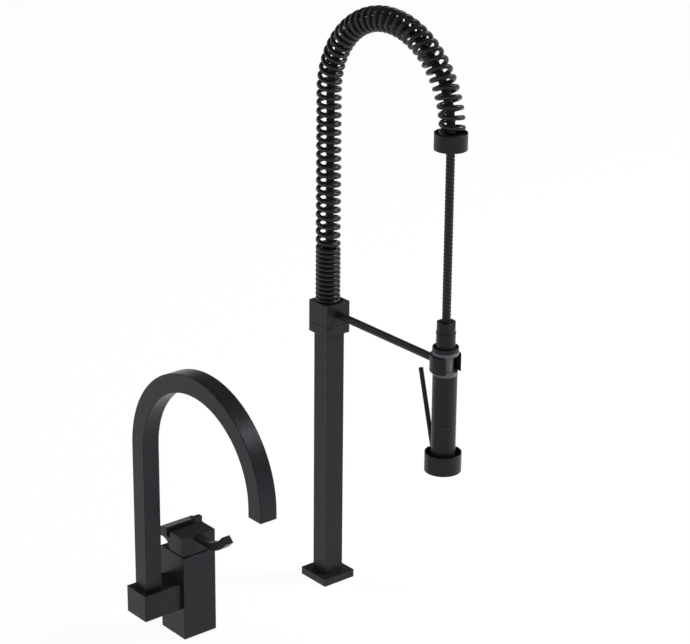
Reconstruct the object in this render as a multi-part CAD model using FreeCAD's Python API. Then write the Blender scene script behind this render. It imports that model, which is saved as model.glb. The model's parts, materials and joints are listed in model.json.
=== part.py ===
import FreeCAD, Part
import math
import os

# Tap set for a commercial sink, two fixtures on one deck: a spring-arm spray column
# and a single-lever mixer with a square gooseneck spout.
# Millimetres. Origin: centre of the column's deck flange, on the deck. +Z up, the arm
# and the spout point to -Y, the mixer stands at -X.

V = FreeCAD.Vector
AXIS_X = V(1, 0, 0)
AXIS_Y = V(0, 1, 0)
AXIS_Z = V(0, 0, 1)

# ---- Fits, each a clearance per side ----
SNUG = 0.05          # a piece fixed in another
JOURNAL = 0.03       # a shaft in its bush
PIVOT = 0.05         # a lever on its pin
MOVE = 0.3           # pieces that move past each other
ROOM = 0.6           # pieces that swing past each other

# ---- Whole set ----
FIXTURE_PITCH = 231.0     # column axis to mixer axis
REACH = 225.0             # column axis to handset axis
EDGE = 0.6                # rounding of the square pieces' long edges

# ---- Spray column ----
FLANGE_SIDE = 50.0
FLANGE_H = 10.4
FLANGE_FLOOR = 4.0        # metal left under the tube
TUBE_SIDE = 27.7
TUBE_WALL = 2.0
COLLAR_BOTTOM = 355.0     # above the deck
COLLAR_H = 13.4
COLLAR_POCKET = 8.0
HUB_SIDE = 37.4
BLOCK_H = 29.3
GASKET_INSET = 2.8        # fixture's side to the gasket
GASKET_WIDTH = 3.2
GASKET_T = 1.8
SUPPLY_R = 9.32           # half-inch pipe thread, core radius
SUPPLY_LENGTH = 16.0
INSERT_H = 20.0
INSERT_SPIGOT_R = 12.0
RISER_R = 6.0
RISER_BORE_R = 5.0
RISER_SOCKET = 6.0

# ---- Hub swivel ----
SPIGOT_R = 9.0
SPIGOT_H = 17.6
WASHER_R = 12.5
WASHER_T = 1.0
BUSH_WALL = 1.97
BUSH_H = 7.0
SEAL_R = 0.7              # section radius of the swivel seals
SEAL_PITCH = 2.5
CLIP_RING_R = 10.6
CLIP_RING_DEPTH = 0.8
CLIP_RING_T = 1.2
NIPPLE_R = 11.0
NIPPLE_H = 5.4
NIPPLE_HEAD_R = 8.6
NIPPLE_HEAD_T = 3.0

# ---- Hose ----
HOSE_R = 5.4
HOSE_BORE_R = 3.5
HOSE_TAIL_GAP = 0.1
HOSE_WATER_R = 2.4
HOSE_TAIL_LENGTH = 13.0
FERRULE_WALL = 1.15
# Route along the hose: up inside the spring, over the arch, down to the nut.
HOSE_ROUTE = [
    (0.0, 0.0, 395.0),
    (0.0, 0.0, 707.1),
    (0.0, -30.1, 759.4),
    (0.0, -82.4, 789.5),
    (0.0, -142.6, 789.5),
    (0.0, -194.9, 759.4),
    (0.0, -225.0, 707.1),
    (0.0, -225.0, 419.6),
]
BEND_SHARE = 0.45         # of the shorter run, taken by the arc at each point

# ---- Spring ----
SPRING_R = 16.15          # outside
SPRING_WIRE = 6.0
SPRING_SEAT = 6.0         # depth of its recess in the hub
SPRING_SEAT_PLAY = 0.1
SPRING_RISE = 279.0       # hub top to the start of the arch
SPRING_LEAN_HUB = 1.0     # off the hose, away from the arch
SPRING_LEAN_CUP = 2.5

# ---- Cup at the spring's end ----
CUP_PLAY = 0.45           # spring to cup
CUP_WALL = 1.3
CUP_FLOOR = 1.5
CUP_H = 20.6
CUP_ABOVE_ARCH = 1.0
GROMMET_WALL = 1.1
GROMMET_H = 3.5

# ---- Arm and holder ----
ARM_R = 5.0
ARM_DROP = 15.0           # hub top to arm axis
ARM_SOCKET = 6.3
SET_SCREW_R = 2.0
SET_SCREW_H = 4.0
HOLDER_WALL = 6.9
HOLDER_SLOT_PLAY = 2.3    # round the spool's neck
HOLDER_H = 21.4
HOLDER_DROP = 9.0         # arm axis to the holder's underside
HOLDER_SOCKET_WALL = 2.2

# ---- Handset, upwards from the spool ----
SPOOL_R = 10.2
SPOOL_TOP_PROUD = 1.2     # beyond the grip's outside
SPOOL_TOP_T = 4.4
SPOOL_BOTTOM_PROUD = 0.2
SPOOL_BOTTOM_T = 4.3
SPOOL_PLAY_TOP = 0.5
SPOOL_PLAY_BOTTOM = 0.4
SPOOL_NIPPLE_R = 8.45
SPOOL_NIPPLE_H = 4.6
SPOOL_BORE_R = 4.0
SPOOL_SPIGOT_H = 12.0
SLEEVE_SEAM = 0.3
SLEEVE_COLLAR_PROUD = 0.95
SLEEVE_COLLAR_T = 4.7
SLEEVE_RECESS_R = 15.1
SLEEVE_RECESS = 2.5
SLEEVE_R = 12.0
SLEEVE_H = 22.6
TAIL_R = 6.0
TAIL_H = 11.0
TAIL_FLANGE_R = 8.0
TAIL_FLANGE_T = 2.9
LOCK_RING_R = 12.4
LOCK_RING_T = 1.6
NUT_R = 11.6
NUT_H = 13.2
NUT_FLAT = 10.4           # axis to each of the two flats
NUT_FLAT_H = 7.0
NUT_BORE_PLAY = 0.9       # round the ferrule

# ---- Handset, downwards from the spool ----
GRIP_R = 15.4
GRIP_WALL = 2.4
GRIP_H = 63.8
SEAM = 0.5
SEAM_DEPTH = 0.8
BODY_H = 59.5
BODY_SPIGOT_H = 12.0
RING_GAP = 6.05           # grip's outside to the ring's inside
RING_WALL = 1.7
RING_H = 24.5
RING_WEB_BELOW = 3.0      # from the web's top down to its underside
RING_WEB_TO_EDGE = 6.0    # from the web's top down to the ring's lower edge
WEB_HOLE_R = 11.0
FACE_T = 1.4
FACE_INSET = 0.8
NOZZLE_R = 1.5
NOZZLE_BORE_R = 0.6
NOZZLE_H = 2.0
NOZZLE_CIRCLES = ((8.0, 8), (13.0, 12), (18.0, 18))
FACE_SCREW_R = 2.0
FACE_SCREW_HEAD_R = 3.6
FACE_SCREW_DEPTH = 7.0

# ---- Trigger and valve ----
TRIGGER_R = 3.0
TRIGGER_SLOPE = 14.22     # degrees from upright at rest
PIVOT_PROUD = 1.03        # grip's outside to the trigger's pivot
PIVOT_UP = 5.0            # above the web
TRIGGER_UP = 115.54       # along the rod, pivot to free end
TRIGGER_DOWN = 2.6
PIN_R = 1.25
EAR_IN = 3.8
EAR_OUT = 7.0
EAR_H = 9.0
EAR_PROUD = 4.0           # grip's outside to the ears' outer face
SLOT_DEPTH = 3.4          # of the trigger's slot in the valve body
SLOT_H = 57.0
NOTCH_UP = 10.0           # above the web, where the ring's notch starts
HEEL_HALF = 3.3           # half the width of the heel that fills the ring's notch
HEEL_PLAY = 0.5
STEM_UP = 11.5            # above the web
STEM_R = 1.5
STEM_SHORT = 1.1          # stem's tip inside the grip's outside
CHAMBER_R = 5.5
SEAT_R = 3.5
SEAT_AT = 3.0             # handset axis to the seat, towards the trigger
SEAT_LENGTH = 6.4
SEAT_PLAY = 0.1
VALVE_SEAL_T = 1.5
POPPET_R = 4.6
POPPET_T = 2.4
POPPET_BOSS_R = 2.9
POPPET_BOSS_H = 2.0
VALVE_CAP_T = 3.6
VALVE_CAP_INSET = 1.2     # grip's outside to the cap's outer face
VALVE_SPRING_R = 4.2
VALVE_SPRING_WIRE = 1.0
INLET_R = 4.5
INLET_OFF = 5.0
OUTLET_R = 3.0
OUTLET_OFF = 6.2

# ---- Mixer ----
MIXER_SIDE = 50.0
MIXER_H = 115.4
CARTRIDGE_BORE_R = 17.6
CARTRIDGE_FLOOR = 78.0
INLET_THREAD_R = 4.5      # M10 x 1 core
INLET_THREAD_LENGTH = 15.0
INLET_X = 8.0
INLET_Y = -7.0
PASSAGE_R = 2.8
STUD_THREAD_R = 3.4       # M8 core
STUD_THREAD_LENGTH = 12.0
STUD_Y = 12.0
OUTLET_Y = 8.0
OUTLET_Z = 60.0
LINK_R = 5.0
LINK_GRIP = 6.0

# ---- Outlet block and spout ----
OUTLET_BLOCK_X = 56.6
OUTLET_BLOCK_Y = 40.0
OUTLET_BLOCK_Z = 42.1
OUTLET_BLOCK_H = 35.9
SPOUT_X = 61.7            # mixer axis to spout axis
SPOUT_SIDE = 24.0
SPOUT_WALL = 2.0
SPOUT_LEG_TOP = 276.15
SPOUT_ARCH_R = 118.7
SPOUT_NOSE = 9.15
SPOUT_EDGE = 0.8
FOOT_H = 21.7
FOOT_SPIGOT_R = 8.5
FOOT_SPIGOT_H = 29.3
FOOT_WATER_R = 4.5
FOOT_PORT_R = 3.0
FOOT_PORT_LAND = 0.6      # groove beyond the ports, above and below
FOOT_GROOVE_R = 7.1
SPOUT_BORE_R = 8.9
SPOUT_BORE_FLOOR = 48.0
SPOUT_BUSH_R = 10.5
SPOUT_BUSH_H = 7.5
SPOUT_SEAL_LEVELS = (52.6, 69.0)
LOCK_SCREW_Z = 66.0
LOCK_TIP_R = 1.0
LOCK_TIP = 7.7            # spout axis to the lock screw's tip
AERATOR_H = 8.0
AERATOR_INSET = 0.6
AERATOR_HOLE_R = 1.5
AERATOR_CIRCLES = ((3.8, 6), (7.4, 12))

# ---- Cartridge ----
HOUSING_PLAY = 0.2
HOUSING_WALL = 1.9
HOUSING_H = 26.0
HOUSING_FLOOR = 4.0
PORT_R = 2.8
DISC_T = 4.0
MOVING_DISC_R = 11.5
MOVING_DISC_T = 4.0
DISC_PLAY = 0.1
DRIVER_H = 13.4
COVER_PLATE_H = 6.0
COVER_RECESS_H = 3.0
NECK_R = 11.5
NECK_H = 6.0
ROTOR_FLANGE_T = 2.4
ROTOR_R = 9.3
ROTOR_TOP = 118.5
CARTRIDGE_NUT_H = 3.2
TILT_Z = 114.0            # lever's tilt axis
STEM_PIN_R = 1.5
BALL_R = 3.0
BALL_DROP = 10.0
SHANK_R = 2.2
SPINDLE_WALL = 1.7        # round the tilt pin
SPINDLE_SQUARE = 8.0
SPINDLE_SQUARE_Z = 121.0
ROTOR_SLOT_Y = 6.5

# ---- Cap and lever ----
CAP_GAP = 2.3
CAP_H = 24.9
CAP_GROOVE_FRONT = 3.7
CAP_GROOVE_BACK = 10.7
CAP_GROOVE_DEPTH = 8.6
CAP_RIB_RISE = 3.1
CAP_POCKET_R = 14.0
CAP_POCKET_H = 5.3
SCOOP_R = 15.3
SCOOP_Y = 20.0
SCOOP_Z = 115.0
KEY_OUT = 6.0
KEY_IN = 8.0
KEY_Y = (10.7, 17.5)
KEY_Z = (137.5, 145.5)
CAP_SCREW_R = 1.5
CAP_SCREW_DROP = 10.7     # cap top to the screw that holds the spindle
LEVER_ROOT_W = 9.0
LEVER_TIP_W = 12.0
LEVER_DROP = 1.3          # cap top to the lever's top
LEVER_ROOT_T = 7.4
LEVER_TENON = 9.0
LEVER_BEND_R = 52.0
LEVER_FLAT_BELOW = 22.0
LEVER_FLAT_ABOVE = 14.0
LEVER_END_BELOW = 8.2
LEVER_END_ABOVE = 8.0
LEVER_BEND = 45.0         # degrees
LEVER_SCREW_R = 2.0
LEVER_SCREW_HEAD_R = 3.5
LEVER_SCREW_HEAD_H = 3.8

# ---- Radii that follow from what fits inside or outside them ----
SPRING_SEAT_R = SPRING_R + SPRING_LEAN_HUB + SPRING_SEAT_PLAY
CUP_R = SPRING_R + SPRING_LEAN_CUP + CUP_PLAY + CUP_WALL
GROMMET_R = HOSE_R + MOVE + GROMMET_WALL
FERRULE_R = HOSE_R + SNUG + FERRULE_WALL
SPOOL_TOP_R = GRIP_R + SPOOL_TOP_PROUD
SPOOL_BOTTOM_R = GRIP_R + SPOOL_BOTTOM_PROUD
SLEEVE_COLLAR_R = GRIP_R + SLEEVE_COLLAR_PROUD
NUT_BORE_R = FERRULE_R + NUT_BORE_PLAY
HOLDER_SLOT_R = SPOOL_R + HOLDER_SLOT_PLAY
HOLDER_R = HOLDER_SLOT_R + HOLDER_WALL
RING_R = GRIP_R + RING_GAP + RING_WALL
PIVOT_OUT = GRIP_R + PIVOT_PROUD
EAR_REACH = GRIP_R + EAR_PROUD
SLOT_FLOOR = GRIP_R - SLOT_DEPTH
STEM_TIP = GRIP_R - STEM_SHORT
VALVE_CAP_AT = GRIP_R - VALVE_CAP_INSET
HOUSING_R = CARTRIDGE_BORE_R - HOUSING_PLAY
HOUSING_BORE_R = HOUSING_R - HOUSING_WALL
DISC_R = HOUSING_BORE_R - MOVE
CARTRIDGE_NUT_R = CARTRIDGE_BORE_R - SNUG
SPINDLE_R = STEM_PIN_R + SPINDLE_WALL

# ---- Levels and places that follow from the sizes above ----
TUBE_TOP = COLLAR_BOTTOM + COLLAR_POCKET
COLLAR_TOP = COLLAR_BOTTOM + COLLAR_H
BLOCK_BOTTOM = COLLAR_TOP + MOVE
BLOCK_TOP = BLOCK_BOTTOM + BLOCK_H
SEAT_Z = BLOCK_TOP - SPRING_SEAT
ARM_Z = BLOCK_TOP - ARM_DROP
ARCH_Z = BLOCK_TOP + SPRING_RISE
CUP_BOTTOM = ARCH_Z + CUP_ABOVE_ARCH - CUP_H
HOLDER_BOTTOM = ARM_Z - HOLDER_DROP
HOLDER_TOP = HOLDER_BOTTOM + HOLDER_H
WASHER_TOP = COLLAR_TOP + WASHER_T
BUSH_BOTTOM = WASHER_TOP + ROOM
BUSH_TOP = BUSH_BOTTOM + BUSH_H
SHELF_TOP = BUSH_TOP + 2 * SEAL_PITCH + 1.3
SPIGOT_TOP = COLLAR_TOP + SPIGOT_H
SPOOL_BOTTOM = HOLDER_BOTTOM - SPOOL_PLAY_BOTTOM - SPOOL_BOTTOM_T
SPOOL_TOP = HOLDER_TOP + SPOOL_PLAY_TOP + SPOOL_TOP_T
SLEEVE_BOTTOM = SPOOL_TOP + SLEEVE_SEAM
SLEEVE_TOP = SLEEVE_BOTTOM + SLEEVE_H
NUT_BOTTOM = SLEEVE_TOP + LOCK_RING_T
NUT_TOP = NUT_BOTTOM + NUT_H
TAIL_BOTTOM = SPOOL_TOP + SPOOL_NIPPLE_H + ROOM
TAIL_SHOULDER = TAIL_BOTTOM + TAIL_H
TAIL_TOP = TAIL_SHOULDER + TAIL_FLANGE_T
GRIP_BOTTOM = SPOOL_BOTTOM - GRIP_H
WEB_TOP = GRIP_BOTTOM - BODY_H
WEB_BOTTOM = WEB_TOP - RING_WEB_BELOW
RING_BOTTOM = WEB_TOP - RING_WEB_TO_EDGE
FACE_BOTTOM = RING_BOTTOM + FACE_INSET
FACE_TOP = FACE_BOTTOM + FACE_T
PIVOT_Y = -REACH + PIVOT_OUT
PIVOT_Z = WEB_TOP + PIVOT_UP
STEM_Z = WEB_TOP + STEM_UP
MIXER_X = -FIXTURE_PITCH
SPOUT_AXIS_X = MIXER_X - SPOUT_X
OUTLET_BLOCK_TOP = OUTLET_BLOCK_Z + OUTLET_BLOCK_H
SPOUT_BOTTOM = OUTLET_BLOCK_TOP + MOVE
HOUSING_BOTTOM = CARTRIDGE_FLOOR
DISC_Z = HOUSING_BOTTOM + HOUSING_FLOOR
MOVING_DISC_Z = DISC_Z + DISC_T + DISC_PLAY
DRIVER_Z = MOVING_DISC_Z + MOVING_DISC_T
COVER_Z = HOUSING_BOTTOM + HOUSING_H
NECK_Z = COVER_Z + COVER_PLATE_H
CAP_BOTTOM = MIXER_H + CAP_GAP
CAP_TOP = CAP_BOTTOM + CAP_H


# ---- Shape helpers ----
def box(x_span, y_span, z_span):
    """Box between two values on each axis."""
    size = (x_span[1] - x_span[0], y_span[1] - y_span[0], z_span[1] - z_span[0])
    return Part.makeBox(*size, V(x_span[0], y_span[0], z_span[0]))


def square(side, z_span, at=(0.0, 0.0), edge=0.0):
    """Upright square bar about a point, its long edges rounded."""
    half = side / 2
    bar = box((at[0] - half, at[0] + half), (at[1] - half, at[1] + half), z_span)
    return round_upright_edges(bar, edge)


def round_upright_edges(solid, radius):
    """Round the edges that run along Z."""
    if radius <= 0:
        return solid
    upright = [e for e in solid.Edges if abs(e.tangentAt(e.FirstParameter).z) > 0.999]
    return solid.makeFillet(radius, upright)


def post(radius, z_span, at=(0.0, 0.0)):
    """Upright cylinder about a point."""
    return Part.makeCylinder(radius, z_span[1] - z_span[0], V(at[0], at[1], z_span[0]))


def pipe(outer, inner, z_span, at=(0.0, 0.0)):
    """Upright tube about a point."""
    return post(outer, z_span, at).cut(post(inner, z_span, at))


def post_y(radius, y_span, x, z):
    """Cylinder along Y."""
    return Part.makeCylinder(radius, y_span[1] - y_span[0], V(x, y_span[0], z), AXIS_Y)


def post_x(radius, x_span, y, z):
    """Cylinder along X."""
    return Part.makeCylinder(radius, x_span[1] - x_span[0], V(x_span[0], y, z), AXIS_X)


def seal_ring(shaft_r, section_r, z, at=(0.0, 0.0)):
    """O-ring whose outside is level with the shaft it sits in."""
    return Part.makeTorus(shaft_r - section_r, section_r, V(at[0], at[1], z))


def seal_groove(shaft_r, section_r, z, at=(0.0, 0.0)):
    """Square groove in a shaft for such an O-ring."""
    span = (z - section_r, z + section_r)
    return pipe(shaft_r + 1, shaft_r - 2 * section_r, span, at)


def circle_places(circles, centre):
    """Centres spread evenly on circles, each given as radius and count."""
    places = [centre]
    for radius, count in circles:
        for step in range(count):
            turn = 2 * math.pi * step / count
            places.append((centre[0] + radius * math.cos(turn), centre[1] + radius * math.sin(turn)))
    return places


def extrude_outline_x(edges, x_span):
    """Solid from a closed outline in the plane X = 0, carried along X."""
    face = Part.Face(Part.Wire(edges))
    solid = face.extrude(V(x_span[1] - x_span[0], 0, 0))
    solid.translate(V(x_span[0], 0, 0))
    return solid


def polyline_edges(points):
    """Closed chain of straight edges through (y, z) points."""
    corners = [V(0, y, z) for y, z in points]
    return [Part.makeLine(a, b) for a, b in zip(corners, corners[1:] + corners[:1])]


def arch_sweep(profile, leg_z, arch_z, centre_y, end_z):
    """Carry an upright profile up a leg, over half a turn toward -Y and down again."""
    lower = profile.extrude(V(0, 0, arch_z - leg_z))
    raised = profile.copy()
    raised.translate(V(0, 0, arch_z - leg_z))
    arch = raised.revolve(V(0, centre_y, arch_z), AXIS_X, 180)
    landed = raised.copy()
    landed.rotate(V(0, centre_y, arch_z), AXIS_X, 180)
    nose = landed.extrude(V(0, 0, end_z - arch_z))
    return lower.fuse([arch, nose]).removeSplitter()


# ---- Deck pieces ----
def gasket_ring(side, at, grow=0.0):
    """Flat rubber ring let into the underside of a square fixture."""
    outer = side / 2 - GASKET_INSET
    return pipe(outer + grow, outer - GASKET_WIDTH - grow, (0, GASKET_T), at)


def deck_gaskets():
    return Part.makeCompound([gasket_ring(FLANGE_SIDE, (0.0, 0.0)), gasket_ring(MIXER_SIDE, (MIXER_X, 0.0))])


def column_flange():
    body = square(FLANGE_SIDE, (0, FLANGE_H), edge=EDGE)
    pocket = square(TUBE_SIDE + 2 * SNUG, (FLANGE_FLOOR, FLANGE_H))
    hole = post(INSERT_SPIGOT_R + SNUG, (0, FLANGE_FLOOR))
    return body.cut([pocket, hole, gasket_ring(FLANGE_SIDE, (0.0, 0.0), SNUG)])


def column_base_insert():
    side = TUBE_SIDE - 2 * TUBE_WALL - 2 * SNUG
    top = FLANGE_FLOOR + INSERT_H
    body = square(side, (FLANGE_FLOOR, top)).fuse(post(INSERT_SPIGOT_R, (0, FLANGE_FLOOR)))
    thread = post(SUPPLY_R, (0, SUPPLY_LENGTH))
    water = post(RISER_BORE_R, (SUPPLY_LENGTH, top))
    socket = post(RISER_R + SNUG, (top - RISER_SOCKET, top))
    return body.removeSplitter().cut([thread, water, socket])


def column_tube():
    outer = square(TUBE_SIDE, (FLANGE_FLOOR, TUBE_TOP), edge=EDGE)
    return outer.cut(square(TUBE_SIDE - 2 * TUBE_WALL, (FLANGE_FLOOR, TUBE_TOP)))


def riser_span():
    """Ends of the inner pipe: the insert's socket floor and the collar's."""
    return (FLANGE_FLOOR + INSERT_H - RISER_SOCKET, TUBE_TOP + RISER_SOCKET / 2)


def riser_pipe():
    return pipe(RISER_R, RISER_BORE_R, riser_span())


# ---- Hub swivel ----
def swivel_seal_levels():
    return [BUSH_TOP + 0.65 + SEAL_PITCH * (step + 0.5) for step in range(2)]


def clip_ring_span():
    bottom = SHELF_TOP + MOVE
    return (bottom, bottom + CLIP_RING_T)


def hub_collar():
    body = square(HUB_SIDE, (COLLAR_BOTTOM, COLLAR_TOP), edge=EDGE)
    body = body.fuse(post(SPIGOT_R, (COLLAR_TOP, SPIGOT_TOP))).removeSplitter()
    pocket = square(TUBE_SIDE + 2 * SNUG, (COLLAR_BOTTOM, TUBE_TOP))
    water = post(RISER_BORE_R, (TUBE_TOP, SPIGOT_TOP))
    socket = post(RISER_R + SNUG, (TUBE_TOP, riser_span()[1]))
    grooves = [seal_groove(SPIGOT_R, SEAL_R, z) for z in swivel_seal_levels()]
    grooves.append(pipe(SPIGOT_R + 1, SPIGOT_R - CLIP_RING_DEPTH, clip_ring_span()))
    seam = (COLLAR_TOP - SEAM, COLLAR_TOP)
    grooves.append(square(HUB_SIDE + 2, seam).cut(square(HUB_SIDE - 2 * SEAM_DEPTH, seam)))
    return body.cut([pocket, water, socket] + grooves)


def swivel_washer():
    return pipe(WASHER_R, SPIGOT_R + MOVE, (COLLAR_TOP, WASHER_TOP))


def swivel_o_rings():
    return Part.makeCompound([seal_ring(SPIGOT_R, SEAL_R, z) for z in swivel_seal_levels()])


def swivel_clip_ring():
    return pipe(CLIP_RING_R, SPIGOT_R - CLIP_RING_DEPTH, clip_ring_span())


def swivel_bush():
    return pipe(SPIGOT_R + JOURNAL + BUSH_WALL, SPIGOT_R + JOURNAL, (BUSH_BOTTOM, BUSH_TOP))


def hub_screw_y():
    """The arm's set screw bears on the rod halfway along its socket."""
    return -HUB_SIDE / 2 + ARM_SOCKET / 2


def hub_block():
    body = square(HUB_SIDE, (BLOCK_BOTTOM, BLOCK_TOP), edge=EDGE)
    chamber_r = NIPPLE_R + SNUG
    bush_hole = post(SPIGOT_R + JOURNAL + BUSH_WALL + SNUG, (BLOCK_BOTTOM, BUSH_TOP))
    cuts = [
        post(WASHER_R + MOVE, (BLOCK_BOTTOM, WASHER_TOP + MOVE)),
        bush_hole,
        post(SPIGOT_R + MOVE, (BUSH_TOP, SHELF_TOP)),
        post(chamber_r, (SHELF_TOP, SEAT_Z)),
        post(SPRING_SEAT_R, (SEAT_Z, BLOCK_TOP)),
        post_y(ARM_R + SNUG, (-HUB_SIDE / 2, -HUB_SIDE / 2 + ARM_SOCKET), 0, ARM_Z),
        post(SET_SCREW_R + SNUG, (BLOCK_BOTTOM, ARM_Z - ARM_R / 2), (0, hub_screw_y())),
    ]
    return body.cut(cuts)


def hose_nipple():
    """Threaded plug, flange, crimp sleeve and tail of the hose's upper end, turned in one."""
    top = SEAT_Z + NIPPLE_HEAD_T
    tail_top = top + HOSE_TAIL_LENGTH
    body = post(NIPPLE_R, (SEAT_Z - NIPPLE_H, SEAT_Z))
    body = body.fuse(post(NIPPLE_HEAD_R, (SEAT_Z, top)))
    body = body.fuse(post(HOSE_BORE_R - HOSE_TAIL_GAP, (top, tail_top)))
    body = body.fuse(pipe(FERRULE_R, HOSE_R + SNUG, (top, tail_top))).removeSplitter()
    return body.cut(post(HOSE_WATER_R, (SEAT_Z - NIPPLE_H, tail_top)))


# ---- Hose, spring and cup ----
def hose_path(points):
    """Straight runs joined by tangent arcs, with each arc's radius."""
    corners = [V(*p) for p in points]
    edges = []
    radii = []
    start = corners[0]
    for before, here, after in zip(corners, corners[1:], corners[2:]):
        back = before.sub(here)
        ahead = after.sub(here)
        reach = BEND_SHARE * min(back.Length, ahead.Length)
        turn = math.pi - back.getAngle(ahead)
        radius = reach / math.tan(turn / 2)
        back.normalize()
        ahead.normalize()
        inward = back.add(ahead)
        inward.normalize()
        first = here.add(back.multiply(reach))
        last = here.add(ahead.multiply(reach))
        middle = here.add(inward.multiply(radius / math.cos(turn / 2) - radius))
        edges.append(Part.LineSegment(start, first).toShape())
        edges.append(Part.Arc(first, middle, last).toShape())
        radii.append(radius)
        start = last
    edges.append(Part.LineSegment(start, corners[-1]).toShape())
    return Part.Wire(edges), radii


def hose_sweep(radius, wire):
    """Round bar along the hose's path."""
    ring = Part.Wire(Part.makeCircle(radius, V(*HOSE_ROUTE[0]), AXIS_Z))
    return wire.makePipeShell([ring], True, True)


def hose():
    wire, radii = hose_path(HOSE_ROUTE)
    tube = hose_sweep(HOSE_R, wire).cut(hose_sweep(HOSE_BORE_R, wire))
    expected = math.pi * (HOSE_R ** 2 - HOSE_BORE_R ** 2) * wire.Length
    print("hose radii", [round(r, 1) for r in radii], "length", round(wire.Length, 1))
    print("hose volume over section times length", round(tube.Volume / expected, 4))
    return tube


def spray_spring():
    """Envelope of the hose spring: its outer and inner surfaces along its whole length."""
    outer = Part.Wire(Part.makeCircle(SPRING_R, V(0, SPRING_LEAN_HUB, SEAT_Z), AXIS_Z))
    inner = Part.Wire(Part.makeCircle(SPRING_R - SPRING_WIRE, V(0, SPRING_LEAN_HUB, SEAT_Z), AXIS_Z))
    section = Part.Face(outer).cut(Part.Face(inner)).Faces[0]
    centre_y = (SPRING_LEAN_HUB - REACH - SPRING_LEAN_CUP) / 2
    return arch_sweep(section, SEAT_Z, ARCH_Z, centre_y, CUP_BOTTOM + CUP_FLOOR)


def spring_cup():
    at = (0.0, -REACH)
    top = CUP_BOTTOM + CUP_H
    body = post(CUP_R, (CUP_BOTTOM, top), at)
    inside = post(CUP_R - CUP_WALL, (CUP_BOTTOM + CUP_FLOOR, top), at)
    return body.cut([inside, post(GROMMET_R + SNUG, (CUP_BOTTOM, CUP_BOTTOM + CUP_FLOOR), at)])


def cup_grommet():
    return pipe(GROMMET_R, HOSE_R + MOVE, (CUP_BOTTOM, CUP_BOTTOM + GROMMET_H), (0.0, -REACH))


# ---- Arm and holder ----
def arm_end_y():
    """Floor of the arm's socket in the holder."""
    return -REACH + HOLDER_SLOT_R + HOLDER_SOCKET_WALL


def holder_screw_y():
    return (arm_end_y() - REACH + HOLDER_R) / 2


def arm_rod():
    return post_y(ARM_R, (arm_end_y(), -HUB_SIDE / 2 + ARM_SOCKET), 0, ARM_Z)


def arm_set_screws():
    top = ARM_Z - ARM_R
    places = [(0.0, hub_screw_y()), (0.0, holder_screw_y())]
    screws = [post(SET_SCREW_R, (top - SET_SCREW_H, top), at) for at in places]
    return Part.makeCompound(screws)


def holder():
    at = (0.0, -REACH)
    span = (HOLDER_BOTTOM, HOLDER_TOP)
    mouth = box((-HOLDER_SLOT_R, HOLDER_SLOT_R), (-REACH - 2 * HOLDER_R, -REACH), span)
    socket = post_y(ARM_R + SNUG, (arm_end_y(), -REACH + HOLDER_R + 1), 0, ARM_Z)
    screw_hole = post(SET_SCREW_R + SNUG, (HOLDER_BOTTOM, ARM_Z - ARM_R / 2), (0.0, holder_screw_y()))
    return post(HOLDER_R, span, at).cut([post(HOLDER_SLOT_R, span, at), mouth, socket, screw_hole])


# ---- Hose's lower end ----
def hose_tail():
    at = (0.0, -REACH)
    tail_top = TAIL_TOP + HOSE_TAIL_LENGTH
    body = post(TAIL_R, (TAIL_BOTTOM, TAIL_SHOULDER), at)
    body = body.fuse(post(TAIL_FLANGE_R, (TAIL_SHOULDER, TAIL_TOP), at))
    body = body.fuse(post(HOSE_BORE_R - HOSE_TAIL_GAP, (TAIL_TOP, tail_top), at)).removeSplitter()
    groove = seal_groove(TAIL_R, SEAL_R, (TAIL_BOTTOM + TAIL_SHOULDER) / 2, at)
    return body.cut([post(HOSE_WATER_R, (TAIL_BOTTOM, tail_top), at), groove])


def tail_o_ring():
    return seal_ring(TAIL_R, SEAL_R, (TAIL_BOTTOM + TAIL_SHOULDER) / 2, (0.0, -REACH))


def tail_ferrule():
    return pipe(FERRULE_R, HOSE_R + SNUG, (TAIL_TOP, TAIL_TOP + HOSE_TAIL_LENGTH), (0.0, -REACH))


# ---- Handset, top ----
def swivel_sleeve():
    at = (0.0, -REACH)
    collar_top = SLEEVE_BOTTOM + SLEEVE_COLLAR_T
    nipple_top = SPOOL_TOP + SPOOL_NIPPLE_H + SNUG
    body = post(SLEEVE_COLLAR_R, (SLEEVE_BOTTOM, collar_top), at)
    body = body.fuse(post(SLEEVE_R, (collar_top, SLEEVE_TOP), at)).removeSplitter()
    recess = pipe(SLEEVE_RECESS_R, SLEEVE_R, (collar_top - SLEEVE_RECESS, collar_top), at)
    cuts = [
        recess,
        post(SPOOL_NIPPLE_R + SNUG, (SLEEVE_BOTTOM, nipple_top), at),
        post(TAIL_R + MOVE, (nipple_top, TAIL_SHOULDER - MOVE), at),
        post(TAIL_FLANGE_R + ROOM, (TAIL_SHOULDER - MOVE, SLEEVE_TOP), at),
    ]
    return body.cut(cuts)


def lock_ring():
    return pipe(LOCK_RING_R, TAIL_FLANGE_R + ROOM, (SLEEVE_TOP, NUT_BOTTOM), (0.0, -REACH))


def hose_nut():
    at = (0.0, -REACH)
    spigot = post(TAIL_FLANGE_R + ROOM - SNUG, (TAIL_TOP + MOVE, NUT_BOTTOM), at)
    round_part = post(NUT_R, (NUT_BOTTOM, NUT_TOP - NUT_FLAT_H), at)
    flat_part = post(NUT_R, (NUT_TOP - NUT_FLAT_H, NUT_TOP), at)
    flat_part = flat_part.common(box((-NUT_R, NUT_R), (-REACH - NUT_FLAT, -REACH + NUT_FLAT),
                                     (NUT_TOP - NUT_FLAT_H, NUT_TOP)))
    body = spigot.fuse([round_part, flat_part]).removeSplitter()
    return body.cut(post(NUT_BORE_R, (TAIL_TOP, NUT_TOP), at))


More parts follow.
